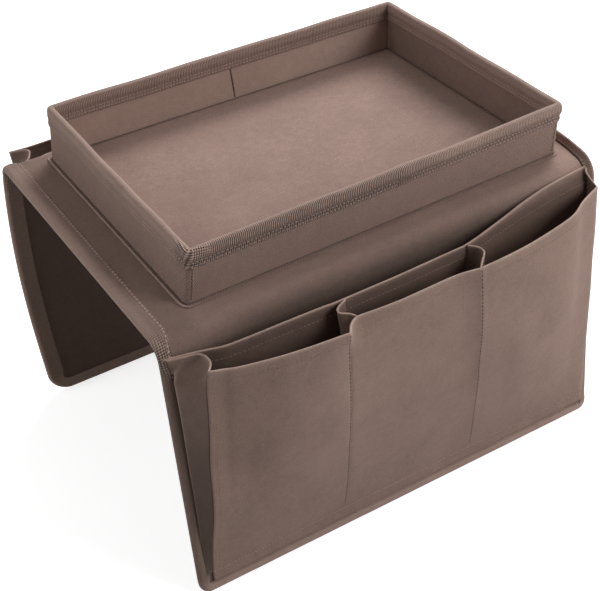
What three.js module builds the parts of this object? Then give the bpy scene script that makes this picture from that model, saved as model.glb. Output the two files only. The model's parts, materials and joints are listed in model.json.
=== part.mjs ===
// Recliner armrest organizer: an open tray sewn on a stiffened saddle panel, with a pocketed
// flap hanging from each long edge. Millimetres, +X along the armrest, -Y the near flap, +Z up.
import * as THREE from 'three';

// Overall sizes. The panel's right end reaches past the flaps
const panelLength = 342;
const panelOverhang = 12;
const hingeSpan = 229.6;
const hingeHeight = 192;
const splayDegrees = 6.57;

// Tray on the saddle panel, set in from the panel's ends and from the hinge lines
const trayLeftMargin = 32.6;
const trayRightMargin = 17.6;
const trayNearMargin = 22.85;
const trayFarMargin = 7.65;
const trayHeight = 40.2;
const trayEndLean = 3.95;
const traySideLean = 1.75;
const trayCorner = 3;
const trayFlange = 2.5;
const rimTapeDrop = 13.5;

// Cloth, tape and stiffeners
const cloth = 0.45;
const pocketCloth = 0.8;
const tape = 0.5;
const panelBoard = 2;
const trayBoard = 1.5;
const clearance = 0.25;
const boardFoldGap = 2;

// Edge binding
const endTapeWidth = 12.5;
const flapTapeInside = 13.5;
const flapTapeOutside = 9;
const innerTapeCorner = 0.6;
const nearCorner = 8;
const farCorner = 12;
const ridgeHeight = 5.8;
const ridgeEndHeight = 3;
const ridgeFall = 14;

// Pockets, measured down the flap from its hinge line and out from its cover
const sleeveDrop = 4;
const sleeveStandOff = 16;
const frontDrop = 10;
const frontStandOff = 38.5;
const frontBottomMargin = 9;
const frontSeamMargin = 7;
const frontLeftInset = 17.3;
const frontLeftBottomInset = 9.5;
const frontRightInset = 2;
const seamOneX = -57;
const seamTwoX = 47.7;
const seamOneDrift = 6.5;
const seamTwoDrift = 9;
const gussetMouthInset = 22.5;
const gussetLowInset = 9.65;
const gussetFold = 7;
const rightGussetInset = 4.5;
const rightGussetFold = 3;
const dividerFold = 8;
const pleatWidth = 9.5;
const bellyPower = 1.45;
const dividerOneFootX = -45;
const dividerTwoFootX = 50;

// Share of the sleeve's half width, and share of its stand-off, along its top edge
const sleeveShares = [
  [-1, 0], [-0.92, 0.29], [-0.79, 0.71], [-0.35, 0.9],
  [0, 1], [0.32, 1], [0.68, 0.22], [1, 0],
];
// Share of each pocket's width, and share of the stand-off, along the front panel's top edge
const frontShares = [
  [[0, 0.68], [0.23, 0.69], [0.48, 0.84], [0.84, 0.975]],
  [[0, 1], [0.13, 0.73], [0.46, 0.8], [0.8, 0.8]],
  [[0, 0.885], [0.12, 0.9], [0.38, 0.84], [0.72, 0.656], [1, 0.37]],
];
// Sideways places of an accordion divider's folds, from the sleeve to the front panel
const dividerOneShares = [0, -1, 0];
const dividerTwoShares = [0, 1, 0];
const gussetShares = [0, 0.9, 0.5, 0];
// Levels down a pocket, as shares of its depth
const levelShares = [0, 0.07, 0.16, 0.3, 0.46, 0.62, 0.78, 0.9];
const mouthShare = 0.16;

// Facet counts
const cornerSteps = 4;
const noseSteps = 4;
const profileSteps = 4;
const foldSteps = 4;
const ridgeSteps = 5;

// Layers of a flap, out from the plane of its hinge line
const flapLining = tape + clearance;
const flapBoard = flapLining + cloth + clearance;
const flapCover = flapBoard + panelBoard + clearance;
const flapFace = flapCover + cloth;
const sleeveBack = flapFace + clearance;
const outerTape = sleeveBack + pocketCloth + clearance;
const flapThickness = outerTape + tape;

// Layers of the saddle panel, up from the hinge lines
const panelUnderside = hingeHeight + clearance;
const liningLevel = panelUnderside + flapLining;
const boardLevel = panelUnderside + flapBoard;
const coverLevel = panelUnderside + flapCover;
const panelTop = panelUnderside + flapFace;

const halfLength = (panelLength - panelOverhang) / 2;
const panelRight = halfLength + panelOverhang;
const hingeY = hingeSpan / 2;
const noseRadius = panelBoard + cloth + clearance;
const edgeInset = tape + clearance;
const halfPocketCloth = pocketCloth / 2;
const ridgeThickness = tape + clearance + cloth + clearance + tape;
const bareLeft = -halfLength + endTapeWidth + clearance;

const colours = { cover: 0x8a7468, lining: 0x5c4a43, pocket: 0x7c675d, tape: 0xa08a80, board: 0xb7a88f };
const materials = Object.fromEntries(Object.entries(colours).map(([name, color]) => [
  name,
  () => new THREE.MeshStandardMaterial({ name, color, roughness: 0.9, metalness: 0 }),
]));

function mix(from, to, share) {
  return from + (to - from) * share;
}

function range(count) {
  return Array.from({ length: count }, (_, i) => i);
}

// Closed geometry from points and triangles, turned inside out if its volume is negative
function solid(points, triangles) {
  let volume = 0;
  for (const [a, b, c] of triangles) {
    volume += points[a].dot(new THREE.Vector3().crossVectors(points[b], points[c]));
  }
  const facing = volume > 0 ? triangles : triangles.map(([a, b, c]) => [a, c, b]);
  const geometry = new THREE.BufferGeometry().setFromPoints(points);
  geometry.setIndex(facing.flat());
  geometry.computeVertexNormals();
  return geometry;
}

// A sheet between two grids of points: two faces and the four edges that join them
function sheetSolid(front, back) {
  const rows = front.length;
  const columns = front[0].length;
  const points = [...front.flat(), ...back.flat()];
  const at = (face, i, j) => (face * rows + i) * columns + j;
  const triangles = [];
  const quad = (a, b, c, d) => triangles.push([a, b, c], [a, c, d]);
  for (let i = 0; i < rows - 1; i += 1) {
    for (let j = 0; j < columns - 1; j += 1) {
      quad(at(0, i, j), at(0, i + 1, j), at(0, i + 1, j + 1), at(0, i, j + 1));
      quad(at(1, i, j), at(1, i, j + 1), at(1, i + 1, j + 1), at(1, i + 1, j));
    }
    const end = columns - 1;
    quad(at(0, i, 0), at(1, i, 0), at(1, i + 1, 0), at(0, i + 1, 0));
    quad(at(0, i, end), at(0, i + 1, end), at(1, i + 1, end), at(1, i, end));
  }
  for (let j = 0; j < columns - 1; j += 1) {
    const last = rows - 1;
    quad(at(0, 0, j), at(0, 0, j + 1), at(1, 0, j + 1), at(1, 0, j));
    quad(at(0, last, j), at(1, last, j), at(1, last, j + 1), at(0, last, j + 1));
  }
  return solid(points, triangles);
}

// A skin through rings of points: a run with an end outline is capped, one without joins its ends
function skin(rings, endOutline) {
  const count = rings[0].length;
  const spans = endOutline ? rings.length - 1 : rings.length;
  const triangles = [];
  for (let k = 0; k < spans; k += 1) {
    const here = k * count;
    const there = ((k + 1) % rings.length) * count;
    for (let m = 0; m < count; m += 1) {
      const next = (m + 1) % count;
      triangles.push([here + m, here + next, there + next], [here + m, there + next, there + m]);
    }
  }
  if (endOutline) {
    const last = (rings.length - 1) * count;
    const anticlockwise = THREE.ShapeUtils.area(endOutline) > 0;
    for (const face of THREE.ShapeUtils.triangulateShape(endOutline, [])) {
      const [a, b, c] = anticlockwise ? face : [face[2], face[1], face[0]];
      triangles.push([c, b, a], [last + a, last + b, last + c]);
    }
  }
  return solid(rings.flat(), triangles);
}

function named(name, geometry, material) {
  const mesh = new THREE.Mesh(geometry, materials[material]());
  mesh.name = name;
  return mesh;
}

// Saddle panel: stiffener, cover, lining and the tape on its two ends

// The cover wraps over the stiffener's long edges and stops at the hinge lines
function panelCover() {
  const left = -halfLength + edgeInset;
  const right = panelRight - ridgeThickness - clearance;
  const rows = (radius) => {
    const angles = range(noseSteps + 1).map((i) => (Math.PI / 2) * (i / noseSteps));
    const across = [
      ...angles.map((angle) => [-1, angle]),
      ...angles.toReversed().map((angle) => [1, angle]),
    ];
    return across.map(([side, angle]) => {
      const y = side * (hingeY - noseRadius + radius * Math.cos(angle));
      const z = panelTop - noseRadius + radius * Math.sin(angle);
      return [new THREE.Vector3(left, y, z), new THREE.Vector3(right, y, z)];
    });
  };
  return sheetSolid(rows(noseRadius), rows(noseRadius - cloth));
}

function panelStiffener() {
  const left = bareLeft + cloth + clearance;
  const right = panelRight - ridgeThickness - clearance;
  const across = hingeSpan - 2 * (noseRadius + boardFoldGap);
  const plate = new THREE.BoxGeometry(right - left, across, panelBoard);
  return plate.translate((left + right) / 2, 0, boardLevel + panelBoard / 2);
}

// Height of the stood-up right edge, which falls away towards both hinge lines
function ridgeLevel(y) {
  const fromEnd = hingeY - Math.abs(y);
  const share = Math.min(fromEnd / ridgeFall, 1);
  return panelTop + mix(ridgeEndHeight, ridgeHeight, Math.sin((share * Math.PI) / 2));
}

function ridgeStations(inset) {
  const fall = range(ridgeSteps + 1).map((i) => hingeY - inset - ridgeFall * (i / ridgeSteps));
  return [...fall.map((y) => -y), ...fall.toReversed()];
}

// An outline in X and Z carried along Y, with its top following the ridge
function ridgeSolid(inset, outlineAt) {
  const rings = ridgeStations(inset).map((y) => (
    outlineAt(ridgeLevel(y)).map(([x, z]) => new THREE.Vector3(x, y, z))));
  const end = outlineAt(ridgeLevel(0)).map(([x, z]) => new THREE.Vector2(x, z));
  return skin(rings, end);
}

// The lining lies under the stiffener, steps up over the left end's tape, where the stiffener has
// ended, and turns up beside the tray at the right end
function panelLining() {
  const left = -halfLength + edgeInset;
  const lip = panelRight - edgeInset;
  const under = liningLevel;
  const stepped = under + clearance;
  return ridgeSolid(cloth + clearance, (top) => [
    [left, stepped], [bareLeft, stepped], [bareLeft, under], [lip, under],
    [lip, top - edgeInset], [lip - cloth, top - edgeInset], [lip - cloth, under + cloth],
    [bareLeft + cloth, under + cloth], [bareLeft + cloth, stepped + cloth], [left, stepped + cloth],
  ]);
}

// Tape folded over the turned-up lip
function ridgeTape() {
  const outside = panelRight;
  const inside = panelRight - ridgeThickness;
  const foot = coverLevel;
  const innerFoot = panelTop + clearance;
  return ridgeSolid(0, (top) => [
    [outside, foot], [outside, top], [inside, top], [inside, innerFoot],
    [inside + tape, innerFoot], [inside + tape, top - tape], [outside - tape, top - tape],
    [outside - tape, foot],
  ]);
}

// Tape folded flat over the left end of the panel
function leftTape() {
  const outer = -halfLength;
  const inner = outer + endTapeWidth;
  const bottom = panelUnderside;
  const top = panelTop + clearance + tape;
  const outline = [
    [outer, bottom], [inner, bottom], [inner, bottom + tape], [outer + tape, bottom + tape],
    [outer + tape, top - tape], [inner, top - tape], [inner, top], [outer, top],
  ];
  const rings = [-hingeY, hingeY].map((y) => outline.map(([x, z]) => new THREE.Vector3(x, y, z)));
  return skin(rings, outline.map(([x, z]) => new THREE.Vector2(x, z)));
}

// Tray: four leaning stiffened walls between an outer cover and a lining, with a taped rim

const trayLength = panelLength - trayLeftMargin - trayRightMargin;
const trayForward = (trayLeftMargin - trayRightMargin + panelOverhang) / 2;
const trayWidth = hingeSpan - trayNearMargin - trayFarMargin;
const trayAcross = (trayNearMargin - trayFarMargin) / 2;

// Half sizes of the tray's outer cover at a height above the panel
function trayHalf(height) {
  const share = height / trayHeight;
  return [trayLength / 2 - trayEndLean * share, trayWidth / 2 + traySideLean * share];
}

// A rounded rectangle round the tray, set in from the outer cover
function trayLoop(inset, height) {
  const [halfX, halfY] = trayHalf(height);
  const radius = Math.max(trayCorner - inset, innerTapeCorner);
  const centreX = halfX - inset - radius;
  const centreY = halfY - inset - radius;
  const corners = [[1, 1], [-1, 1], [-1, -1], [1, -1]];
  return corners.flatMap(([sideX, sideY], corner) => range(cornerSteps + 1).map((i) => {
    const angle = (Math.PI / 2) * (corner + i / cornerSteps);
    return new THREE.Vector3(
      trayForward + sideX * centreX + radius * Math.cos(angle),
      trayAcross + sideY * centreY + radius * Math.sin(angle),
      panelTop + height,
    );
  }));
}

const trayFoot = clearance;
const trayWallTop = trayHeight - tape - clearance;
const trayBoardInset = cloth + clearance;
const trayLiningInset = trayBoardInset + trayBoard + clearance;
const trayInside = trayLiningInset + cloth;
const trayFloorBoardTop = trayFoot + trayBoard;
const trayLiningUnder = trayFloorBoardTop + clearance;
const trayFloor = trayLiningUnder + cloth;

// Outer cover, with its foot turned out and sewn down on the panel
function trayCover() {
  const section = [
    [0, trayWallTop], [cloth, trayWallTop], [cloth, trayFoot], [-trayFlange, trayFoot],
    [-trayFlange, trayFoot + cloth], [0, trayFoot + cloth],
  ];
  return skin(section.map(([inset, height]) => trayLoop(inset, height)));
}

// Lining of the walls: a band of cloth round the inside
function trayLining() {
  const section = [
    [trayLiningInset, trayLiningUnder], [trayLiningInset, trayWallTop],
    [trayInside, trayWallTop], [trayInside, trayLiningUnder],
  ];
  return skin(section.map(([inset, height]) => trayLoop(inset, height)));
}

// Lining of the floor, which lies inside the walls' band
function floorLining() {
  const inset = trayInside + clearance;
  const rings = [trayLoop(inset, trayLiningUnder), trayLoop(inset, trayFloor)];
  return skin(rings, rings[0].map((point) => new THREE.Vector2(point.x, point.y)));
}

function rimTape() {
  const outer = -edgeInset;
  const inner = trayInside + edgeInset;
  const foot = trayHeight - rimTapeDrop;
  const section = [
    [outer, trayHeight], [inner, trayHeight], [inner, foot], [inner - tape, foot],
    [inner - tape, trayHeight - tape], [outer + tape, trayHeight - tape], [outer + tape, foot],
    [outer, foot],
  ];
  return skin(section.map(([inset, height]) => trayLoop(inset, height)));
}

// One wall stiffener, between two insets and clear of the tray's round corners
function wallBoard(alongX, side) {
  const faces = [trayBoardInset, trayBoardInset + trayBoard].map((inset) => (
    [trayFoot, trayWallTop].map((height) => {
      const [halfX, halfY] = trayHalf(height);
      return [-1, 1].map((end) => {
        const x = alongX ? end * (halfX - trayCorner) : side * (halfX - inset);
        const y = alongX ? side * (halfY - inset) : end * (halfY - trayCorner);
        return new THREE.Vector3(trayForward + x, trayAcross + y, panelTop + height);
      });
    })));
  return sheetSolid(faces[0], faces[1]);
}

function floorBoard() {
  const [halfX, halfY] = trayHalf(0);
  const inset = trayLiningInset;
  const plate = new THREE.BoxGeometry(2 * (halfX - inset - traySideLean), 2 * (halfY - inset), trayBoard);
  return plate.translate(trayForward, trayAcross, panelTop + trayFoot + trayBoard / 2);
}

// Flap: everything below is drawn in the flap's own plane. x runs along the panel, drop is
// measured down from the hinge line and out is measured from the hinge line's plane outwards

// Length of a flap whose lowest corner just meets the floor when it leans by the given angle
function flapDropFor(lean, thickness) {
  return (hingeHeight - thickness * Math.sin(lean)) / Math.cos(lean);
}

// Half the width of a flap layer at a given drop, narrowing round the bottom corner
function halfWidthAt(flap, drop, inset) {
  const radius = Math.max(flap.corner - inset, innerTapeCorner);
  const below = drop - (flap.drop - inset - radius);
  const full = halfLength - inset;
  return below > 0 ? full - radius + Math.sqrt(Math.max(radius * radius - below * below, 0)) : full;
}

// Drops for the rows of a flap layer, closer together round its bottom corners
function layerDrops(flap, top, inset, straight = 1) {
  const bottom = flap.drop - inset;
  const radius = Math.max(flap.corner - inset, innerTapeCorner);
  const upright = range(straight).map((i) => mix(top, bottom - radius, i / straight));
  const round = range(cornerSteps + 1).map((i) => (
    bottom - radius + radius * Math.sin((Math.PI / 2) * (i / cornerSteps))));
  return [...upright, ...round];
}

function flapPlate(flap, top, inset, back, front) {
  const face = (out) => layerDrops(flap, top, inset).map((drop) => (
    [-1, 1].map((side) => flap.at(side * halfWidthAt(flap, drop, inset), drop, out))));
  return sheetSolid(face(front), face(back));
}

// The flap's cover turns in over the stiffener's top edge to reach the hinge line
function flapCoverSheet(flap) {
  const face = (radius) => {
    const nose = range(noseSteps + 1).map((i) => {
      const angle = (Math.PI / 2) * (1 - i / noseSteps);
      const drop = clearance + noseRadius - radius * Math.sin(angle);
      return [drop, flapFace - noseRadius + radius * Math.cos(angle)];
    });
    const out = flapFace - noseRadius + radius;
    const below = layerDrops(flap, clearance + noseRadius, edgeInset).slice(1);
    return [...nose, ...below.map((drop) => [drop, out])].map(([drop, level]) => (
      [-1, 1].map((side) => flap.at(side * halfWidthAt(flap, drop, edgeInset), drop, level))));
  };
  return sheetSolid(face(noseRadius), face(noseRadius - cloth));
}

// A place on the flap's outline, set in by an amount, going down, along the bottom and up
function outlineStations(flap, inset) {
  const radius = Math.max(flap.corner - inset, innerTapeCorner);
  const halfFlat = halfLength - inset - radius;
  const straightEnd = flap.drop - inset - radius;
  const left = range(cornerSteps + 1).map((i) => {
    const angle = (Math.PI / 2) * (i / cornerSteps);
    return [-halfFlat - radius * Math.cos(angle), straightEnd + radius * Math.sin(angle)];
  });
  const right = left.toReversed().map(([x, drop]) => [-x, drop]);
  const top = clearance;
  return [[inset - halfLength, top], ...left, ...right, [halfLength - inset, top]];
}

// Tape folded over the two sides and the bottom of the flap
function flapTape(flap) {
  const section = [
    [0, 0], [0, flapThickness], [flapTapeOutside, flapThickness], [flapTapeOutside, outerTape],
    [tape, outerTape], [tape, tape], [flapTapeInside, tape], [flapTapeInside, 0],
  ];
  const paths = section.map(([inset, out]) => (
    outlineStations(flap, inset).map(([x, drop]) => flap.at(x, drop, out))));
  const rings = paths[0].map((_, k) => paths.map((path) => path[k]));
  return skin(rings, section.map(([inset, out]) => new THREE.Vector2(inset, out)));
}

// A smooth line through points, returned as evenly divided pairs between them
function smoothLine(points) {
  const curve = new THREE.SplineCurve(points.map(([x, y]) => new THREE.Vector2(x, y)));
  const count = (points.length - 1) * profileSteps;
  return range(count + 1).map((i) => curve.getPoint(i / count).toArray());
}

// Height of a line of [x, out] pairs at x
function levelOn(line, x) {
  const next = Math.min(Math.max(line.findIndex((pair) => pair[0] >= x), 1), line.length - 1);
  const [fromX, from] = line[next - 1];
  const [toX, to] = line[next];
  return mix(from, to, (x - fromX) / (toX - fromX));
}

// How much of its stand-off a pocket keeps at a drop: a slight belly, and none at its bottom seam
function slackShare(drop, top, seam) {
  const depth = Math.min(Math.max((drop - top) / (seam - top), 0), 1);
  return 1 - depth ** bellyPower;
}

const halfSleeve = halfLength - flapTapeOutside - clearance;
const sleeveLine = smoothLine(sleeveShares.map(([x, out]) => [x * halfSleeve, out * sleeveStandOff]));

// Middle of the rear sleeve's cloth
function sleeveMiddle(flap, x, drop) {
  const inside = Math.min(Math.max(x, -halfSleeve), halfSleeve);
  const slack = slackShare(drop, sleeveDrop, flap.seamDrop);
  return sleeveBack + halfPocketCloth + levelOn(sleeveLine, inside) * slack;
}

function rearSleeve(flap) {
  const straightRows = 7;
  const drops = layerDrops(flap, sleeveDrop, edgeInset, straightRows);
  const face = (offset) => drops.map((drop) => {
    const half = halfWidthAt(flap, drop, edgeInset);
    const inner = sleeveLine.map(([x]) => x * Math.min(1, (half - clearance) / halfSleeve));
    return [-half, ...inner, half].map((x) => (
      flap.at(x, drop, sleeveMiddle(flap, x, drop) + offset)));
  });
  return sheetSolid(face(halfPocketCloth), face(-halfPocketCloth));
}

// Places of the front panel's two ends and two seams at a drop
function seamPlaces(flap, drop) {
  const depth = (drop - frontDrop) / (flap.frontBottom - frontDrop);
  return [
    -halfLength + mix(frontLeftInset, frontLeftBottomInset, depth),
    seamOneX + seamOneDrift * depth,
    seamTwoX + seamTwoDrift * depth,
    halfLength - frontRightInset,
  ];
}

// Middle of the front panel's cloth at a drop, as [x, out] pairs from left to right
function frontRow(flap, drop) {
  const places = seamPlaces(flap, drop);
  const slack = slackShare(drop, frontDrop, flap.seamDrop);
  const flat = flapThickness + clearance + halfPocketCloth;
  const points = frontShares.flatMap((pocket, k) => pocket.map(([x, out]) => (
    [mix(places[k], places[k + 1], x), flat + out * frontStandOff * slack])));
  return smoothLine(points);
}

function frontDrops(flap) {
  const levels = levelShares.map((share) => mix(frontDrop, flap.seamDrop, share));
  return [...levels, flap.seamDrop, flap.frontBottom];
}

// One cloth across all three pockets, ridged and pleated at the two seams
function frontPanel(flap) {
  const face = (offset) => frontDrops(flap).map((drop) => (
    frontRow(flap, drop).map(([x, out]) => flap.at(x, drop, out + offset))));
  return sheetSolid(face(halfPocketCloth), face(-halfPocketCloth));
}

// Cloth standing between the sleeve and the front panel. At each level it runs from a foot to a
// head in [x, out], with folds to the side, and both ends are cut to the cloths they meet
function standingCloth(flap, foot, head, folds, depthOf) {
  const drops = frontDrops(flap).slice(0, levelShares.length);
  const count = (folds.length - 1) * foldSteps;
  const rows = drops.map((drop) => {
    const line = frontRow(flap, drop);
    const start = foot(drop);
    const end = head(drop);
    const under = (x) => levelOn(line, x) - halfPocketCloth - clearance;
    const ease = (share) => (1 - Math.cos(Math.PI * share)) / 2;
    const middle = range(count + 1).map((i) => {
      const fold = Math.min(Math.floor(i / foldSteps), folds.length - 2);
      const side = mix(folds[fold], folds[fold + 1], ease(i / foldSteps - fold));
      const share = i / count;
      return new THREE.Vector2(
        mix(start[0], end, share) + side * depthOf(drop),
        mix(start[1], under(end), share),
      );
    });
    const sides = [-1, 1].map((side) => middle.map((point, i) => {
      const before = middle[Math.max(i - 1, 0)];
      const after = middle[Math.min(i + 1, count)];
      const run = after.clone().sub(before).normalize();
      const edge = new THREE.Vector2(-run.y, run.x).multiplyScalar(side * halfPocketCloth);
      const place = point.clone().add(edge);
      if (i === 0) place.y = start[2](place.x);
      if (i === count) place.y = under(place.x);
      return flap.at(place.x, drop, place.y);
    }));
    return sides;
  });
  return sheetSolid(rows.map((sides) => sides[0]), rows.map((sides) => sides[1]));
}

// Foot of a standing cloth on the sleeve at x
function onSleeve(flap, x, drop) {
  const surface = (place) => sleeveMiddle(flap, place, drop) + halfPocketCloth + clearance;
  return [x, surface(x), surface];
}

function foldDepth(flap, depth) {
  return (drop) => depth * slackShare(drop, frontDrop, flap.seamDrop);
}

function leftGusset(flap) {
  const foot = (drop) => {
    const below = (drop - frontDrop) / (flap.seamDrop - frontDrop);
    const shut = Math.min(below / mouthShare, 1);
    return onSleeve(flap, -halfLength + mix(gussetMouthInset, gussetLowInset, shut), drop);
  };
  const head = (drop) => seamPlaces(flap, drop)[0] + pocketCloth;
  return standingCloth(flap, foot, head, gussetShares, foldDepth(flap, gussetFold));
}

// The right gusset stands on the side tape and lies nearly flat
function rightGusset(flap) {
  const level = flapThickness + clearance;
  const foot = () => [halfLength - rightGussetInset, level, () => level];
  const head = (drop) => seamPlaces(flap, drop)[3] - pocketCloth;
  const inward = gussetShares.map((share) => -share);
  return standingCloth(flap, foot, head, inward, foldDepth(flap, rightGussetFold));
}

// An accordion divider folds once between the sleeve and its seam on the front panel. Where the
// front panel is pleated, the divider meets it at the pleat's inner corner
function divider(flap, seam, footX, pleat, shares) {
  const head = (drop) => seamPlaces(flap, drop)[seam] + pleat;
  const foot = (drop) => {
    const depth = (drop - frontDrop) / (flap.seamDrop - frontDrop);
    return onSleeve(flap, mix(footX, head(drop), depth), drop);
  };
  return standingCloth(flap, foot, head, shares, foldDepth(flap, dividerFold));
}

// Every piece of one flap, hung from its hinge line. The near flap faces -Y, the far one +Y
function flapAssembly(prefix, side, corner) {
  const splay = THREE.MathUtils.degToRad(splayDegrees);
  const drop = flapDropFor(splay, side > 0 ? flapThickness : 0);
  const frontBottom = drop - frontBottomMargin;
  const flap = {
    corner,
    drop,
    frontBottom,
    seamDrop: frontBottom - frontSeamMargin,
    at: (x, down, out) => new THREE.Vector3(x, side * out, -down),
  };
  const group = new THREE.Group();
  const add = (name, geometry, material) => group.add(named(`${prefix}_${name}`, geometry, material));
  const boardInset = edgeInset + clearance;
  const boardFront = flapBoard + panelBoard;
  const boardTop = clearance + noseRadius + boardFoldGap;
  add('board', flapPlate(flap, boardTop, boardInset, flapBoard, boardFront), 'board');
  add('cover', flapCoverSheet(flap), 'cover');
  add('lining', flapPlate(flap, clearance, edgeInset, flapLining, flapLining + cloth), 'lining');
  add('edge_binding', flapTape(flap), 'tape');
  add('rear_sleeve', rearSleeve(flap), 'pocket');
  add('front_panel', frontPanel(flap), 'cover');
  add('gusset_left', leftGusset(flap), 'pocket');
  add('gusset_right', rightGusset(flap), 'pocket');
  add('divider_left', divider(flap, 1, dividerOneFootX, pleatWidth, dividerOneShares), 'pocket');
  add('divider_right', divider(flap, 2, dividerTwoFootX, 0, dividerTwoShares), 'pocket');
  group.position.set(0, side * hingeY, hingeHeight);
  group.rotation.x = -splay;
  return group;
}

const organizer = new THREE.Group();
organizer.add(
  named('top_board', panelStiffener(), 'board'),
  named('top_cover', panelCover(), 'cover'),
  named('top_lining', panelLining(), 'lining'),
  named('top_binding_left', leftTape(), 'tape'),
  named('top_binding_right', ridgeTape(), 'tape'),
  named('tray_outer_cover', trayCover(), 'cover'),
  named('tray_near_board', wallBoard(true, -1), 'board'),
  named('tray_far_board', wallBoard(true, 1), 'board'),
  named('tray_left_board', wallBoard(false, -1), 'board'),
  named('tray_right_board', wallBoard(false, 1), 'board'),
  named('tray_floor_board', floorBoard(), 'board'),
  named('tray_wall_lining', trayLining(), 'lining'),
  named('tray_floor_lining', floorLining(), 'lining'),
  named('tray_rim_binding', rimTape(), 'tape'),
  flapAssembly('near_flap', -1, nearCorner),
  flapAssembly('far_flap', 1, farCorner),
);

// The finished group stands on its feet, centred on its own outline in plan
const outline = new THREE.Box3().setFromObject(organizer, true);
const middle = outline.getCenter(new THREE.Vector3());
organizer.position.set(-middle.x, -middle.y, -outline.min.z);

export default organizer;
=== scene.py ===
import json

import bpy
import numpy as np
from mathutils import Matrix, Vector


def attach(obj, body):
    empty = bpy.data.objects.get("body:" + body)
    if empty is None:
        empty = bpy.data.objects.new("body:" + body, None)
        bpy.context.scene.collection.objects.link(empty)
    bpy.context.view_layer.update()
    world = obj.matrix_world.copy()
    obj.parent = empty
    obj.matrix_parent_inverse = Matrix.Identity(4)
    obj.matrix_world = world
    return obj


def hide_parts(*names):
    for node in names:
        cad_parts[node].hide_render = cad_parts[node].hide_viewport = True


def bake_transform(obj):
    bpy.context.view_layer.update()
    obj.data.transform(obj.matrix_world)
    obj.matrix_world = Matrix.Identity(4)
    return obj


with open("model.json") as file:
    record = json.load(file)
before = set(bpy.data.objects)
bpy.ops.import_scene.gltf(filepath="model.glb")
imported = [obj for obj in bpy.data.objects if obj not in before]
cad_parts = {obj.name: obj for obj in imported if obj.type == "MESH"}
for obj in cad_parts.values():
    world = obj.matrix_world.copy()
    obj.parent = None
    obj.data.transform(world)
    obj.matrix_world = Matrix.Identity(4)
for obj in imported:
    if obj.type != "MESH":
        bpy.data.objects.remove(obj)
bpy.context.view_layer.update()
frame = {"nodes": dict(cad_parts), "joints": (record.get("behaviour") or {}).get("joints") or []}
print("frame loaded:", len(frame["nodes"]), "nodes")

mm = 0.001  # a length in millimetres times this is in metres
flapsMiddleX = -6.0  # x is counted from the middle of the flaps, this far from the row's origin
tiny = 1e-12  # added where a division could meet zero
straightUp = np.array([0, 0, 1.0])
pieces = {}

# Small numpy tools

# 0 before start, 1 after end, and a cubic ease between them
def ease(start, end, value):
    share = np.clip((value - start) / (end - start), 0, 1)
    return share * share * (3 - 2 * share)


# The value at a share of the way from one value to another
def between(start, end, share):
    return start + (end - start) * share


# A bell of height 1 at the middle that has fallen to 1/e at the given width
def bell(value, middle, width):
    return np.exp(-(((value - middle) / width) ** 2))


# Smooth line through (place, height) knots, with no overshoot: cubic pieces whose slope at each
# knot is the harmonic mean of the slopes on its two sides, and 0 where they differ in sign
def lineThrough(knots, value):
    place, height = np.array(knots, float).T
    step = np.diff(place)
    rise = np.diff(height) / step
    slope = np.concatenate([rise[:1], np.zeros(len(rise) - 1), rise[-1:]])
    same = rise[:-1] * rise[1:] > 0
    slope[1:-1][same] = (2 * rise[:-1] * rise[1:] / (rise[:-1] + rise[1:] + tiny))[same]
    value = np.clip(value, place[0], place[-1])
    at = np.clip(np.searchsorted(place, value) - 1, 0, len(step) - 1)
    s = (value - place[at]) / step[at]
    return (
        (2 * s**3 - 3 * s**2 + 1) * height[at]
        + (s**3 - 2 * s**2 + s) * step[at] * slope[at]
        + (3 * s**2 - 2 * s**3) * height[at + 1]
        + (s**3 - s**2) * step[at] * slope[at + 1]
    )


# Smooth curve through points (..., count, 2) at the given places, where each whole number is a
# point: a cubic per span whose end tangents are half the chord between the neighbours
def splineAt(points, places):
    first = 2 * points[..., :1, :] - points[..., 1:2, :]
    last = 2 * points[..., -1:, :] - points[..., -2:-1, :]
    padded = np.concatenate([first, points, last], axis=-2)
    span = np.clip(np.floor(places).astype(int), 0, points.shape[-2] - 2)
    s = (places - span)[:, None]
    a, b, c, d = (padded[..., span + i, :] for i in range(4))
    return 0.5 * (
        2 * b + (c - a) * s + (2 * a - 5 * b + 4 * c - d) * s**2 + (3 * b - a - 3 * c + d) * s**3
    )


# Gentle unevenness from about -1 to 1: seven sine waves of about the given length, each in its own
# direction, summed
def waver(u, v, length, seed):
    count, fullTurn = 7, 6.283
    lowest, highest = (0, 0, 0.7), (fullTurn, fullTurn, 1.6)
    total = 0
    for angle, phase, stretch in np.random.default_rng(seed).uniform(lowest, highest, (count, 3)):
        along = u * np.cos(angle) + v * np.sin(angle)
        total = total + np.sin(along * fullTurn / (length * stretch) + phase)
    return total / (count / 2)


# Distances along a run: even steps, and closer ones at an end that is a free edge
def stops(length, step, freeStart=False, freeEnd=False):
    nearEdge = np.array([0.12, 0.4, 0.9, 1.7])
    places = [np.linspace(0, length, max(int(length / step), 2) + 1)]
    if freeStart:
        places.append(nearEdge)
    if freeEnd:
        places.append(length - nearEdge)
    joined = np.unique(np.round(np.concatenate(places), 3))
    joined = joined[(joined >= 0) & (joined <= length)]
    keep = np.concatenate([[True], np.diff(joined) > 0.1])
    keep[-1] = True
    return joined[keep]


# Distance travelled at each point of a line: the running sum of its steps
def distances(line):
    return np.concatenate([[0], np.cumsum(np.linalg.norm(np.diff(line, axis=0), axis=1))])


# Length of a line of points, in metres
def lengthOf(line):
    return round(float(distances(line)[-1]) * mm, 3)


# Mean width of a grid of points, in metres: its area over its length
def meanWidth(grid, length):
    across = np.cross(grid[1:, :-1] - grid[:-1, :-1], grid[:-1, 1:] - grid[:-1, :-1])
    return round(float(np.linalg.norm(across, axis=2).sum()) * mm**2 / length, 3)


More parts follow.
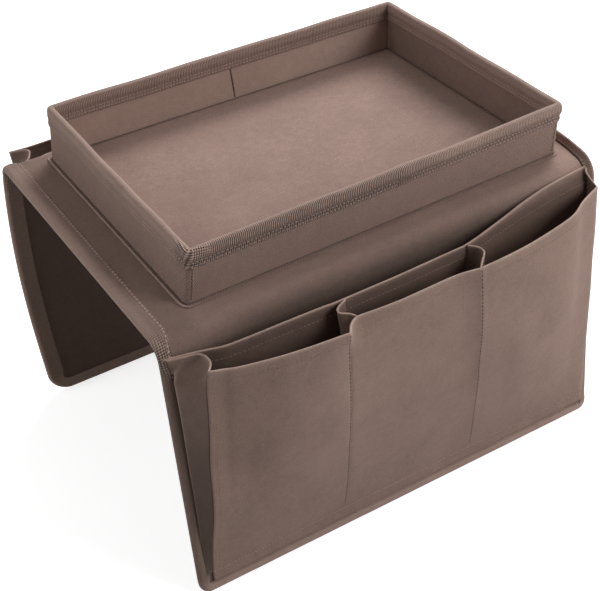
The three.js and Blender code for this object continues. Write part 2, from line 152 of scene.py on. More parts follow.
# Half thickness that ends in a round edge: a quarter circle over its own height
def roundEdge(distance, half):
    share = 1 - np.clip(distance / half, 0, 1)
    return half * np.sqrt(np.clip(1 - share * share, 0, 1))


# Level grid of points between two x and two y places, at one height
def levelGrid(spanX, spanY, z, columns, rows):
    y, x = np.meshgrid(np.linspace(*spanY, rows), np.linspace(*spanX, columns), indexing="ij")
    return np.stack([x, y, np.full_like(x, z)], axis=-1)


# Meshes

# The saddle sits a little twisted: how far its near right and far left corners are lifted, and
# where those corners are
twist = {"nearRight": 5.5, "farLeft": 3.0, "spanX": 146.0, "spanY": 107.0, "reach": 1.1}


# Points with the twist: the two lifts, spread over the plan as products of straight lines, and
# fading with height down the flaps
def settle(points):
    x = np.clip(points[..., 0] / twist["spanX"], -twist["reach"], twist["reach"])
    y = np.clip(points[..., 1] / twist["spanY"], -twist["reach"], twist["reach"])
    lift = (twist["nearRight"] * (1 + x) * (1 - y) + twist["farLeft"] * (1 - x) * (1 + y)) / 4
    lifted = points.copy()
    lifted[..., 2] += lift * np.clip(points[..., 2] / saddle["panelTop"], 0, 1)
    return lifted


# Writes points, faces (their corners in one list and the count of each) and the cloth's own map
def writeMesh(name, points, corners, counts, uv, flat=None):
    mesh = bpy.data.meshes.new(name)
    mesh.vertices.add(len(points))
    placed = (settle(points) + np.array([flapsMiddleX, 0, 0])) * mm
    mesh.vertices.foreach_set("co", placed.astype(np.float32).ravel())
    mesh.loops.add(len(corners))
    mesh.loops.foreach_set("vertex_index", corners.astype(np.int32))
    mesh.polygons.add(len(counts))
    starts = np.concatenate([[0], np.cumsum(counts)[:-1]])
    mesh.polygons.foreach_set("loop_start", starts.astype(np.int32))
    smooth = np.ones(len(counts), bool) if flat is None else ~flat
    mesh.polygons.foreach_set("use_smooth", smooth)
    mesh.update(calc_edges=True)
    layer = mesh.uv_layers.new(name="cloth")
    layer.data.foreach_set("uv", (uv * mm).astype(np.float32).ravel())
    piece = bpy.data.objects.new(name, mesh)
    bpy.context.scene.collection.objects.link(piece)
    pieces[name] = piece
    faceOutwards(mesh)
    return piece


# Turns a closed mesh the right way out: the tetrahedra from the origin to its triangles sum to its
# volume, which is below zero while its faces point inwards
def faceOutwards(mesh):
    mesh.calc_loop_triangles()
    corners = np.zeros(len(mesh.loop_triangles) * 3, np.int32)
    mesh.loop_triangles.foreach_get("vertices", corners)
    points = np.zeros(len(mesh.vertices) * 3, np.float32)
    mesh.vertices.foreach_get("co", points)
    a, b, c = points.reshape(-1, 3)[corners.reshape(-1, 3)].transpose(1, 0, 2)
    if (a * np.cross(b, c)).sum() < 0:
        mesh.flip_normals()


# Gives each point of a piece a number that the finishes read by name
def markPoints(piece, mark, values):
    layer = piece.data.attributes.new(mark, "FLOAT", "POINT")
    layer.data.foreach_set("value", values.astype(np.float32))


# Unit normals of a grid: the cross product of its two directions, turned to the outward side.
# Wrapped, its last column is its first again
def gridNormals(middle, outward, wrap):
    if wrap:
        ring = middle[:, :-1]
        along = np.roll(ring, -1, axis=1) - np.roll(ring, 1, axis=1)
        along = np.concatenate([along, along[:, :1]], axis=1)
    else:
        along = np.gradient(middle, axis=1)
    normal = np.cross(along, np.gradient(middle, axis=0))
    normal /= np.linalg.norm(normal, axis=2, keepdims=True) + tiny
    return -normal if (normal * outward).sum() < 0 else normal


# Cloth with thickness: a grid of middle points pushed out and in along its normals by half the
# thickness, and closed along its borders. Free edges are round, because the half thickness follows
# a quarter circle there, and where it is 0 front and back share a vertex. Marks are point
# attributes that the finishes read: edgeMark lightens the cloth for a lighter tone and
# for painted highlights, shade darkens it with painted shade, worn fades the weave and coarse
# swaps it for beads
def clothSheet(name, middle, half, uv, outward, wrap=False, **marks):
    rows, columns = middle.shape[:2]
    half = np.broadcast_to(half, (rows, columns)).astype(float)
    normal = gridNormals(middle, outward, wrap)
    front = middle + normal * half[..., None]
    back = middle - normal * half[..., None]
    grid = np.arange(rows * columns).reshape(rows, columns)
    number = grid.copy()
    if wrap:
        number[:, -1] = number[:, 0]
    behind = np.where(half < 1e-6, number, number + grid.size)
    vertexOf = np.concatenate([number.ravel(), behind.ravel()])
    uvOf = np.concatenate([uv.reshape(-1, 2)] * 2)
    squares = [grid[:-1, :-1], grid[1:, :-1], grid[1:, 1:], grid[:-1, 1:]]
    squares = np.stack(squares, axis=-1).reshape(-1, 4)
    faces = [squares, (squares + grid.size)[:, ::-1]]
    borders = [(grid[0], 1), (grid[-1], -1)]
    if not wrap:
        borders += [(grid[:, 0], -1), (grid[:, -1], 1)]
    for line, way in borders:
        below = line + grid.size
        strip = np.stack([line[:-1], line[1:], below[1:], below[:-1]], axis=-1)
        faces.append(strip[:, ::way])
    faces = np.concatenate(faces)
    # a corner that names the same vertex as the one before it is left out of its face
    named = vertexOf[faces]
    repeated = named == np.roll(named, 1, axis=1)
    count = (~repeated).sum(axis=1)
    good = count >= 3
    onBorder = (np.arange(len(faces)) >= 2 * len(squares))[good]
    faces, named, repeated = faces[good], named[good], repeated[good]
    used, corners = np.unique(named[~repeated], return_inverse=True)
    points = np.concatenate([front.reshape(-1, 3), back.reshape(-1, 3)])
    piece = writeMesh(name, points[used], corners, count[good], uvOf[faces[~repeated]], onBorder)
    for mark, values in marks.items():
        both = np.concatenate([np.broadcast_to(values, (rows, columns)).ravel()] * 2)
        markPoints(piece, mark, both[used])
    return {"front": front, "back": back, "normal": normal}


# The saddle's cross-section: a level panel, a round bend and a leaning flap on each side

saddle = {
    "panelTop": 196.4,
    "middleY": 1.4,
    "faceFromHinge": 4.15,
    "leanDegrees": 6.57,
    "halfWidth": 165.0,
    "turnedMargin": 5.6,
    "marginBend": 1.3,
    "marginThickness": 2.2,
    "leastRadius": 0.6,
    "bowSkew": 0.85,  # below 1, the left edge is bowed most above the middle of the flap
    "near": {"sign": -1, "bend": 14.5, "corner": 8.0, "bow": 0.0, "bottom": 193.2},
    "far": {"sign": 1, "bend": 8.0, "corner": 16.0, "bow": 5.0, "bottom": 190.5},
    # knots of x of the right edge, which is level with the flap at its bottom and wider above, and
    # of the angle in degrees by which the margin stands up beside the tray. Places are distances
    # past the bend's beginning, shares of the bend, and distances past its end
    "edgeKnots": ([(-110, 175), (-45, 175), (-18, 173.6), (-4, 171.6)],
                  [(0.6, 169.6), (1, 168.8)],
                  [(20, 168.2), (90, 166.6), (185, 165)]),
    "turnKnots": ([(-110, 80), (-30, 78), (-8, 72)],
                  [(0.4, 52), (1, 24)],
                  [(9, 8), (20, 0)]),
}
joints = {joint["child"]: joint for joint in frame["joints"]}


# One side of the cross-section from its hinge: the outer face lies at its distance from the hinge,
# and the bend is tangent to that face and to the panel's top
def makeSide(name):
    own, joint = saddle[name], joints[name + "_flap"]
    lean = np.radians(saddle["leanDegrees"])
    hinge = np.array(joint["pos_m"][1:]) / mm
    down = np.array([-np.sin(lean), -np.cos(lean)])
    out = own["sign"] * np.array([np.cos(lean), -np.sin(lean)])
    face = hinge + out * saddle["faceFromHinge"]
    cornerDrop = (face[1] - saddle["panelTop"]) / np.cos(lean)
    turn = np.arccos(own["sign"] * down[0])
    tangent = own["bend"] * np.tan(turn / 2)
    level = abs((face + down * cornerDrop)[0] - saddle["middleY"]) - tangent
    arc, flapStart = own["bend"] * turn, cornerDrop + tangent
    return {
        **own, "name": name, "body": joint["child"], "hinge": hinge, "down": down, "out": out,
        "turn": turn, "level": level, "arc": arc, "bendEnd": level + arc, "flapStart": flapStart,
        "length": level + arc + own["bottom"] - flapStart,
        "outward": np.array([0, own["sign"], 1.0]),
    }


near, far = makeSide("near"), makeSide("far")


# Run length at which the profile passes a drop down the flap
def runOfDrop(side, drop):
    return side["bendEnd"] + drop - side["flapStart"]


# Outer face of the saddle at a run length from its middle: a straight line, an arc of the bend's
# radius and a straight line again, with the outward normal
def profileAt(side, run):
    turned = np.clip((run - side["level"]) / side["bend"], 0, side["turn"])
    flat = np.minimum(run, side["level"])
    hanging = np.maximum(run - side["bendEnd"], 0)
    normal = np.stack([side["sign"] * np.sin(turned), np.cos(turned)], axis=-1)
    middleY = saddle["middleY"] + side["sign"] * flat
    centre = np.stack([middleY, np.full_like(run, saddle["panelTop"] - side["bend"])], axis=-1)
    return centre + side["bend"] * normal + side["down"] * hanging[..., None], normal


# Smooth line at a run length through knots on the panel, on the bend and on the flap
def lineAlong(side, knots, run):
    onPanel, onBend, onFlap = knots
    placed = list(onPanel)
    placed += [(share * side["arc"], value) for share, value in onBend]
    placed += [(side["arc"] + past, value) for past, value in onFlap]
    return lineThrough(placed, run - side["level"])


# x of the right edge
def rightEdge(side, run):
    return lineAlong(side, saddle["edgeKnots"], run)


# Angle by which the right margin stands up. It lies down along the bend
def marginTurn(side, run):
    return np.radians(lineAlong(side, saddle["turnKnots"], run))


# x of the left edge: straight, and bowed out by a half sine down the far flap
def leftEdge(side, run):
    below = (run - side["bendEnd"]) / (side["length"] - side["bendEnd"])
    return -saddle["halfWidth"] - side["bow"] * np.sin(np.pi * np.clip(below, 0, 1) ** saddle["bowSkew"])


# x where the right margin starts to turn up: the edge's x less what the margin covers in plan
def marginFold(side, run):
    turn, bend = marginTurn(side, run), saddle["marginBend"]
    straight = saddle["turnedMargin"] - bend * turn
    lies = straight * np.cos(turn) + (bend + saddle["marginThickness"]) * np.sin(turn)
    return rightEdge(side, run) - lies


# Unrolled x of the right edge
def unrolledEdge(side, run):
    return marginFold(side, run) + saddle["turnedMargin"]


# Point at unrolled x, run length and height above the cover: past the margin's fold the strip
# follows an arc and then a straight line in the plane of x and the profile's normal
def placeOn(side, x, run, height):
    x, run, height = np.broadcast_arrays(x, run, height)
    fold, turn, bend = marginFold(side, run), marginTurn(side, run), saddle["marginBend"]
    past = np.maximum(x - fold, 0)
    angle = np.minimum(past / bend, turn)
    straight = np.maximum(past - bend * turn, 0)
    across = np.minimum(x, fold) + bend * np.sin(angle) + straight * np.cos(turn)
    across = across - height * np.sin(angle)
    rise = bend * (1 - np.cos(angle)) + straight * np.sin(turn) + height * np.cos(angle)
    face, normal = profileAt(side, run)
    placed = face + normal * rise[..., None]
    return np.stack([across, placed[..., 0], placed[..., 1]], axis=-1)


# Point on the flap's own plane at x, drop below the hinge and height above the cover. On the
# right, x is spread to reach the flap's edge
def placeOnFlap(side, x, drop, height):
    x, drop, height = np.broadcast_arrays(x, drop, height)
    wide = rightEdge(side, runOfDrop(side, drop)) / saddle["halfWidth"]
    across = np.where(x > 0, x * wide, x)
    level = (saddle["faceFromHinge"] + height)[..., None]
    placed = side["hinge"] + side["down"] * drop[..., None] + side["out"] * level
    return np.stack([across, placed[..., 0], placed[..., 1]], axis=-1)


# Half width lost to the round bottom corner, at a distance in from the flap's outline
def cornerLoss(side, run, inset):
    radius = max(side["corner"] - inset, saddle["leastRadius"])
    below = np.clip(run - (side["length"] - inset - radius), 0, radius)
    return radius - np.sqrt(radius**2 - below**2)


# Stitches: short threads gathered per group and written as one mesh each

# Pitch, length, width and lift of each kind of thread, and how light it is
# Rows of lightness 0 are dark: footShadeLine and cornerShadeLine are lines of painted shade in furrows,
# wallSeamShadeLine is the lining's seam drawn as a line of painted shade, and the pleat and ridge seams
# are dark thread that also paints the shade of their stitch pits
threadKinds = {
    "edgeRow": (3.3, 2.3, 1.5, 0.2, 1.0),
    "rimRow": (2.9, 1.9, 0.75, 0.05, 0.85),
    "footShadeLine": (2.0, 2.3, 1.0, 0.0, 0.0),
    "wallSeamShadeLine": (1.7, 1.9, 1.3, 0.1, 0.0),
    "cornerRow": (2.8, 1.7, 0.7, 0.1, 0.7),
    "cornerShadeLine": (1.9, 2.1, 0.7, 0.0, 0.0),
    "mouthRow": (3.0, 2.3, 0.5, 0.1, 0.4),
    "pleatSeam": (3.1, 2.3, 0.9, 0.0, 0.0),
    "ridgeSeam": (3.1, 2.0, 0.9, 0.0, 0.0),
    "creaseSeam": (3.3, 1.8, 0.55, 0.0, 0.25),
    "zigzagRow": (2.6, 2.6, 0.62, 0.1, 0.8),
}
thread = {"placeSpread": 0.05, "sizeSpread": 0.08, "thickness": 0.7}  # shares of pitch, size, width
stitchRows = {}


# Threads along a line of points, one per pitch, with their centres, three directions, sizes and
# lightness. A zigzag turns every other one the other way, and skip leaves the line's ends bare
def sew(group, line, up, kind, skip=0.0, zigzag=0.0):
    pitch, length, width, lift, light = threadKinds[kind]
    up = np.broadcast_to(up, line.shape)
    travelled = distances(line)
    keep = np.concatenate([[True], np.diff(travelled) > 1e-6])
    travelled, line, up = travelled[keep], line[keep], up[keep]
    at = np.arange(pitch / 2 + skip, travelled[-1] - skip, pitch)
    random = np.random.default_rng(len(at))
    at = at + random.uniform(-1, 1, len(at)) * thread["placeSpread"] * pitch

    def read(values, where):
        return np.stack([np.interp(where, travelled, values[:, i]) for i in range(3)], axis=-1)

    centre, normal = read(line, at), read(up, at)
    ahead = read(line, at + length / 2) - read(line, at - length / 2)
    ahead /= np.linalg.norm(ahead, axis=1, keepdims=True) + tiny
    normal -= ahead * (normal * ahead).sum(axis=1, keepdims=True)
    normal /= np.linalg.norm(normal, axis=1, keepdims=True) + tiny
    turned = zigzag * np.where(np.arange(len(at)) % 2, 1, -1)[:, None]
    ahead = ahead * np.cos(turned) + np.cross(normal, ahead) * np.sin(turned)
    spread = random.uniform(1 - thread["sizeSpread"], 1 + thread["sizeSpread"], (len(at), 1))
    sizes = np.array([length, width, width * thread["thickness"]]) * spread
    directions = np.stack([ahead, np.cross(normal, ahead), normal], axis=1)
    row = (centre + normal * lift, directions, sizes, np.full(len(at), light))
    stitchRows.setdefault(group, []).append(row)


# One thread is a six-sided spindle: rings whose radius follows a half ellipse, laid low at its two
# ends where it dips into the cloth. Each point of it is moved along its thread's three directions
def writeStitches(group):
    rings = np.array([-1, -0.82, -0.35, 0.35, 0.82, 1])
    radius = np.array([0.3, 0.72, 1, 1, 0.72, 0.3])[:, None]
    sides = 6
    angle = np.arange(sides) * 2 * np.pi / sides
    sink = -0.5 * rings[:, None] ** 4
    spindle = np.stack(
        [
            np.repeat(rings, sides) * 0.5,
            (radius * np.cos(angle)).ravel() * 0.5,
            (radius * np.sin(angle) * 0.5 + sink).ravel(),
        ],
        axis=-1,
    )
    grid = np.arange(len(spindle)).reshape(len(rings), sides)
    after = np.roll(grid, -1, axis=1)
    quads = np.stack([grid[:-1], after[:-1], after[1:], grid[1:]], axis=-1).reshape(-1, 4)
    caps = [grid[0][[0, 3, 2, 1]], grid[0][[0, 5, 4, 3]], grid[-1][[0, 1, 2, 3]], grid[-1][[0, 3, 4, 5]]]
    quads = np.concatenate([quads, np.array(caps)])
    centre, directions, sizes, light = (np.concatenate(part) for part in zip(*stitchRows[group]))
    points = centre[:, None] + (spindle * sizes[:, None, :]) @ directions
    faces = (quads + np.arange(len(points))[:, None, None] * len(spindle)).reshape(-1, 4)
    flatMap = np.zeros((faces.size, 2))
    counts = np.full(len(faces), 4)
    piece = writeMesh(group, points.reshape(-1, 3), faces.ravel(), counts, flatMap)
    # each thread's lightness from its row: its own tone, and dark where the row paints shade
    markPoints(piece, "edgeMark", np.repeat(light, len(spindle)))
    return piece


# Bakes the piece's transform into its mesh. It does not bend the piece with a flap
def bendAcross(piece):
    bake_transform(piece)


# The piece covers these CAD nodes, which it hides, and either rides on a body or has its
# transform baked into its mesh. flat, its size laid flat, is not used
def finishCloth(name, nodes, flat, body=None, blendSide=None):
    piece = pieces[name]
    if blendSide is not None:
        bendAcross(piece)
    else:
        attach(piece, body)
    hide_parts(*nodes)


# Saddle cloths: a near and a far half that meet in the middle of the panel

saddleCloth = {
    "halfThickness": 0.225,
    "inset": 1.6,
    "rowStep": 4.0,
    "bendRows": 16,
    "columns": (72, 26),
    "denseFrom": 0.92,  # share of the width past which columns are closer together
    "unevenness": 0.16,
    "waves": (45, 3),  # length and seed
    "slitDepth": 1.9,
    "slitWidth": 0.9,
    "slitOffset": -0.4,
    "liningHeight": -3.17,
    "liningAtMargin": -0.72,
    "liningRise": (-9, -1),  # where the lining comes up to the margin, from its fold
}
# Painted light on the cover: painted shade in the near bend and beside the tray's left wall, and a painted
# highlight along the tray's near foot
coverTone = {
    "bendShade": 0.54,
    "bendDelay": (1, 6),  # how far past the bend's beginning, on the left and on the right
    "bendDelayX": (60, 140),
    "bendFade": 18,
    "rightFade": 0.6,
    "rightFadeX": (135, 165),
    "leftShare": 0.35,
    "leftShareX": (-140, -80),
    "endShade": 0.2,  # painted shade beside the tray's left wall
    "endShadeX": (-140, -128),
    "footHighlight": 0.4,  # painted highlight along the tray's near foot
    "footRun": (99, 4.5),
    "footWidth": 130,
}


# Unrolled x and run length over half of the saddle, with rows closer together at the bend
def saddleGrid(side):
    inset = saddleCloth["inset"]
    runs = stops(side["length"] - inset, saddleCloth["rowStep"])
    bend = np.linspace(side["level"] - 1, side["bendEnd"] + 1, saddleCloth["bendRows"])
    runs = np.unique(np.concatenate([[0.05, 0.3], runs, bend]))
    dense, (wide, close) = saddleCloth["denseFrom"], saddleCloth["columns"]
    shares = np.unique(np.concatenate([np.linspace(0, dense, wide), np.linspace(dense, 1, close)]))
    loss = cornerLoss(side, runs, inset)
    left = leftEdge(side, runs) + inset + loss
    right = unrolledEdge(side, runs) - inset - loss
    x = between(left[:, None], right[:, None], shares)
    return x, np.broadcast_to(runs[:, None], x.shape)


# Height of the cover's middle: gentle waves, less a slit where the margin turns up
def coverHeight(side, x, run):
    waves = waver(x, run * side["sign"], *saddleCloth["waves"])
    slitX = marginFold(side, run) + saddleCloth["slitOffset"]
    slit = bell(x, slitX, saddleCloth["slitWidth"]) * np.clip(marginTurn(side, run), 0, 1)
    height = saddleCloth["unevenness"] * waves - saddleCloth["slitDepth"] * slit
    return height - saddleCloth["halfThickness"]


# Height of the lining's middle: level, and eased up to the margin where that stands up
def liningHeight(side, x, run):
    gathered = ease(*saddleCloth["liningRise"], x - marginFold(side, run))
    gathered = gathered * np.clip(marginTurn(side, run), 0, 1)
    return between(saddleCloth["liningHeight"], saddleCloth["liningAtMargin"], gathered)


# Painted shade of the cover in the bend above the near pockets and beside the tray's left wall,
# and a painted highlight along the tray's near foot
def coverPaintedShading(side, x, run):
    tone, onNear = coverTone, side["name"] == "near"
    delay = between(*tone["bendDelay"], ease(*tone["bendDelayX"], x))
    bend = ease(0, tone["bendFade"], run - (side["level"] + delay))
    bend = bend * (1 - tone["rightFade"] * ease(*tone["rightFadeX"], x))
    bend = bend * between(tone["leftShare"], 1, ease(*tone["leftShareX"], x))
    leftEnd = tone["endShade"] * (1 - ease(*tone["endShadeX"], x))
    foot = bell(run, *tone["footRun"]) * bell(x, 0, tone["footWidth"])
    return {"shade": np.maximum(tone["bendShade"] * bend * onNear, leftEnd),
            "edgeMark": tone["footHighlight"] * foot * onNear}


for side in (near, far):
    x, run = saddleGrid(side)
    flat = (round((x[0, -1] - x[0, 0]) * mm, 3), round(side["length"] * mm, 3))
    uv = np.stack([x, run * side["sign"]], axis=-1)
    layers = {"cover": (coverHeight, coverPaintedShading(side, x, run)), "lining": (liningHeight, {})}
    for layer, (heightOf, marks) in layers.items():
        name = side["name"] + "_saddle_" + layer
        middle = placeOn(side, x, run, heightOf(side, x, run))
        clothSheet(name, middle, saddleCloth["halfThickness"], uv, side["outward"], **marks)
        finishCloth(name, ["top_" + layer, side["body"] + "_" + layer], flat,
                    blendSide=side)
print("saddle cloths made")

# Stiffener boards of the saddle, hidden inside the cloths

boards = {
    "thickness": 1.9,
    "flapHalfWidth": 163,
    "flapInset": 2.2,
    "flapHeight": -1.7,
    "flapTop": 5.4,
    "flapDense": (176, 178),  # drops where rows get closer together, for the round corners
    "panelX": (-151, 166),
    "panelY": (-105, 108),
    "panelZ": 194.7,
}


# A board over a grid of its middle points, which stands for one CAD node
def boardSheet(name, node, body, middle, thickness, outward):
    clothSheet(name, middle, thickness / 2, np.zeros((*middle.shape[:2], 2)), outward)
    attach(pieces[name], body)
    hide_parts(node)


# Flap board: straight sides, drawn in at its round bottom corners
def flapBoard(side):
    upperEnd, lowerStart = boards["flapDense"]
    lowest = side["bottom"] - boards["flapInset"]
    upper, lower = np.linspace(boards["flapTop"], upperEnd, 30), np.linspace(lowerStart, lowest, 9)
    drops = np.concatenate([upper, lower])
    reach = boards["flapHalfWidth"] - cornerLoss(side, runOfDrop(side, drops), boards["flapInset"])
    x = reach[:, None] * np.linspace(-1, 1, 40)
    middle = placeOnFlap(side, x, drops[:, None], boards["flapHeight"])
    name, node = side["body"] + "_stiffener", side["body"] + "_board"
    boardSheet(name, node, side["body"], middle, boards["thickness"], side["outward"])


flapBoard(near)
flapBoard(far)
middle = levelGrid(boards["panelX"], boards["panelY"], boards["panelZ"], 36, 24)
boardSheet("panel_stiffener", "top_board", "saddle", middle, boards["thickness"], straightUp)
print("boards made")

# Edge binding: ribbed tape folded over the edge of the saddle

binding = {
    "halfThickness": 0.27,
    "endWidth": 12.5,
    "flapWidth": 7.6,
    "bottomWidth": 6.6,
    "lipWidth": 6.2,
    "insideWidth": 13.5,
    "insideOnFlap": 12.0,
    "insideOnBottom": 9.5,
    "lipFade": (40, 120),  # run past the bend's beginning over which the lip's width is left
    "turnSpan": 20,  # half of the bottom's length over which the left end passes into the right
    "cornerSpan": 30,
    "beforeBend": 4,  # how far before the bend the tape starts to narrow
    "ontoFlap": (0.35, 7),  # its height changes from this share of the bend to this far past it
    "beforeCorner": 6,  # how far before the corner it starts to take the bottom's values
    "endStations": (0.05, 0.3),  # the stations closest to its two ends
    "noseShare": 0.42,
    "noseOnBottom": 0.36,
    "panelHeight": 0.5,
    "flapHeight": 1.52,
    "bottomHeight": 3.3,
    "unevenness": 0.06,
    "waves": (25, 5),
    "valley": 0.25,
    "bottomValley": 3.25,
    "steepShare": (0.5, 0.28),  # share of the outer leg that the valley takes, bottom last
    "puff": 0.8,
    "puffAt": (0.66, 0.3),  # share of the outer leg, and width
    "furrow": 0.45,
    "furrowAt": (0.13, 0.12),
    "insideHeight": -3.85,
    "lipInsideHeight": -1.3,
    "standsFrom": 0.9,  # margin angle in radians at which the tape has the lip's inner height
    "step": 1.9,
    "rowInset": 1.7,
    "rowSink": 0.4,
    "rowPastBend": 12,
    # shares of the tape's outer and inner leg at which its columns lie
    "outerLeg": [0, 0.04, 0.1, 0.2, 0.32, 0.46, 0.6, 0.8, 1],
    "innerLeg": [0, 0.15, 0.4, 0.7, 0.9, 0.97, 1],
}
bindingTone = {
    "smoothOnFlap": 0.85,
    "smoothOnLeft": 0.85,
    "smoothOnLip": 0.65,
    "mostSmooth": 0.9,
    "bentAt": (0.75, 13),  # share of the bend, and width
    # painted highlights: rollLight on the rolled edge, bottomLight on the bottom's roll
    "rollLight": 0.35,
    "rollInsets": (3.0, 6.0),
    "bottomLight": 0.5,
    # painted shade down the near flap's left edge
    "nearLeftShade": 0.35,
}


# Length of the outline: two sides, two quarter circles and the bottom between them
def outlineLength(side):
    bottomSpan = unrolledEdge(side, side["length"]) + saddle["halfWidth"] - 2 * side["corner"]
    return 2 * (side["length"] - side["corner"]) + np.pi * side["corner"] + bottomSpan


# Station counted from the nearer end of the outline
def mirroredStation(side, station):
    return np.minimum(station, outlineLength(side) - station)


# Point (x, run) on the saddle's outline at a station along it, drawn in by inset: down the left
# edge, round the corner, along the bottom, round and back up the right edge
def outlineAt(side, station, inset):
    station, inset = np.broadcast_arrays(station, inset)
    outer, length = side["corner"], side["length"]
    radius = np.maximum(outer - inset, saddle["leastRadius"])
    straight, arc = length - outer, outer * np.pi / 2
    bottomStart = straight + arc
    bottomSpan = outlineLength(side) - 2 * bottomStart
    lowest = length - inset - radius
    mirrored = mirroredStation(side, station)
    cornerShare = ease(straight - binding["cornerSpan"], straight, mirrored)
    run = mirrored - (straight - lowest) * cornerShare
    run = np.minimum(run, lowest)
    angle = np.clip((mirrored - straight) / outer, 0, np.pi / 2)
    run = run + radius * np.sin(angle)
    left = leftEdge(side, run) + inset + radius * (1 - np.cos(angle))
    right = unrolledEdge(side, run) - inset - radius * (1 - np.cos(angle))
    share = np.clip((station - bottomStart) / bottomSpan, 0, 1)
    onBottom = (station > bottomStart) & (station < bottomStart + bottomSpan)
    x = np.where(station > bottomStart + bottomSpan / 2, right, left)
    return np.where(onBottom, between(left, right, share), x), run


# Width, outer height and inner height of the tape at each station, how far it is on a flap and how
# far on the bottom edge. Each value eases from its place on the panel to the next ones
def bindingSection(side, station):
    _, run = outlineAt(side, station, 0)
    total, past = outlineLength(side), run - side["level"]
    right = ease(total / 2 - binding["turnSpan"], total / 2 + binding["turnSpan"], station)
    bendShare, pastBend = binding["ontoFlap"]
    onFlap = ease(side["arc"] * bendShare, side["arc"] + pastBend, past)
    straight = side["length"] - side["corner"]
    cornerStart = straight - binding["beforeCorner"]
    onBottom = ease(cornerStart, straight + side["corner"], mirroredStation(side, station))
    narrowed = ease(-binding["beforeBend"], side["arc"], past)
    width = between(binding["endWidth"], binding["flapWidth"], narrowed)
    width = between(width, binding["lipWidth"], right * (1 - ease(*binding["lipFade"], past)))
    width = between(width, binding["bottomWidth"], onBottom)
    high = between(binding["panelHeight"], binding["flapHeight"], onFlap)
    high = between(high, binding["bottomHeight"], onBottom)
    high = high + binding["unevenness"] * waver(station, 0, *binding["waves"])
    standing = right * np.clip(marginTurn(side, run) / binding["standsFrom"], 0, 1)
    low = between(binding["insideHeight"], binding["lipInsideHeight"], standing)
    return width, high, low, onFlap, onBottom


# Marks of the tape: coarse where it is bunched on the left bend and smooth from wear elsewhere,
# with a painted highlight along its rolled edge and on the bottom's roll, and painted shade down the
# near flap's left edge
def bindingWearAndShading(side, x, run, insets, onFlap, onBottom):
    tone, onLeft = bindingTone, x < 0
    share, width = tone["bentAt"]
    bent = bell(run - side["level"], side["arc"] * share, width) * onLeft
    lip = (x > 0) * (1 - onFlap)
    smooth = tone["smoothOnFlap"] * onFlap + tone["smoothOnLeft"] * onLeft + tone["smoothOnLip"] * lip
    roll = tone["rollLight"] * (1 - ease(*tone["rollInsets"], insets)) * (1 - onFlap)
    marks = {"worn": np.clip(smooth, 0, tone["mostSmooth"]) * (1 - bent), "coarse": bent,
             "edgeMark": roll + tone["bottomLight"] * onBottom}
    # painted shade down the near flap's left edge
    if side["name"] == "near":
        marks["shade"] = tone["nearLeftShade"] * onFlap * (1 - onBottom) * onLeft
    return marks


# The tape: outer leg, half ellipse round the edge and inner leg, all in one row of columns
def bindingLoop(side, name):
    total = outlineLength(side)
    closest, close = binding["endStations"]
    station = np.linspace(close, total - close, int(total / binding["step"]))
    station = np.concatenate([[0, closest], station, [total - closest, total]])
    width, high, low, onFlap, onBottom = (v[:, None] for v in bindingSection(side, station))
    outerLeg, innerLeg = np.array(binding["outerLeg"]), np.array(binding["innerLeg"])
    angles = np.linspace(0, np.pi, 9)[1:-1]
    nose = (high - low) * between(binding["noseShare"], binding["noseOnBottom"], onBottom)
    inside = between(binding["insideWidth"], binding["insideOnFlap"], onFlap)
    inside = between(inside, binding["insideOnBottom"], onBottom)
    parts = [between(width, nose, outerLeg), nose * (1 - np.sin(angles)), between(nose, inside, innerLeg)]
    insets = np.concatenate(parts, axis=1)
    valley = between(binding["valley"], binding["bottomValley"], onBottom)
    steep = 1 - ease(0, between(*binding["steepShare"], onBottom), outerLeg)
    puff = binding["puff"] * bell(outerLeg, *binding["puffAt"])
    puff = puff - binding["furrow"] * bell(outerLeg, *binding["furrowAt"])
    puff = puff * (1 - onFlap) * (station[:, None] < total / 2)
    parts = [high - valley * steep + puff, (high + low) / 2 + (high - low) / 2 * np.cos(angles),
             low + 0 * innerLeg]
    x, run = outlineAt(side, station[:, None], insets)
    middle = placeOn(side, x, run, np.concatenate(parts, axis=1))
    steps = np.linalg.norm(np.diff(middle, axis=1), axis=2)
    across = np.concatenate([np.zeros((len(station), 1)), np.cumsum(steps, axis=1)], axis=1)
    half = np.minimum(roundEdge(across, binding["halfThickness"]),
                      roundEdge(across[:, -1:] - across, binding["halfThickness"]))
    uv = np.stack([np.broadcast_to(station[:, None], across.shape), across], axis=-1)
    marks = bindingWearAndShading(side, x, run, insets, onFlap, onBottom)
    clothSheet(name, middle, half, uv, middle - middle.mean(axis=0), **marks)
    return station, round(float(across[:, -1].mean()) * mm, 4)


# One row of stitches along the panel and over the bend on each side, and none on the bottom's roll
def sewBinding(side, station):
    width, high, *_ = bindingSection(side, station)
    x, run = outlineAt(side, station, width - binding["rowInset"])
    line = placeOn(side, x, run, high + binding["halfThickness"] - binding["rowSink"])
    up = placeOn(side, x, run, high + 2) - line
    onPanel = run < side["bendEnd"] + binding["rowPastBend"]
    for half in (station < outlineLength(side) / 2, station > outlineLength(side) / 2):
        sew(side["name"] + "_stitching", line[half & onPanel], up[half & onPanel], "edgeRow")


for side in (near, far):
    name = side["name"]
    station, tapeWidth = bindingLoop(side, name + "_binding")
    nodes = ["top_binding_left", "top_binding_right", side["body"] + "_edge_binding"]
    finishCloth(name + "_binding", nodes,
                (tapeWidth, round(outlineLength(side) * mm, 3)),
                blendSide=side)
    sewBinding(side, station)
print("edge binding made")

# Tray: a rounded rectangle that leans in at its ends and out at its sides

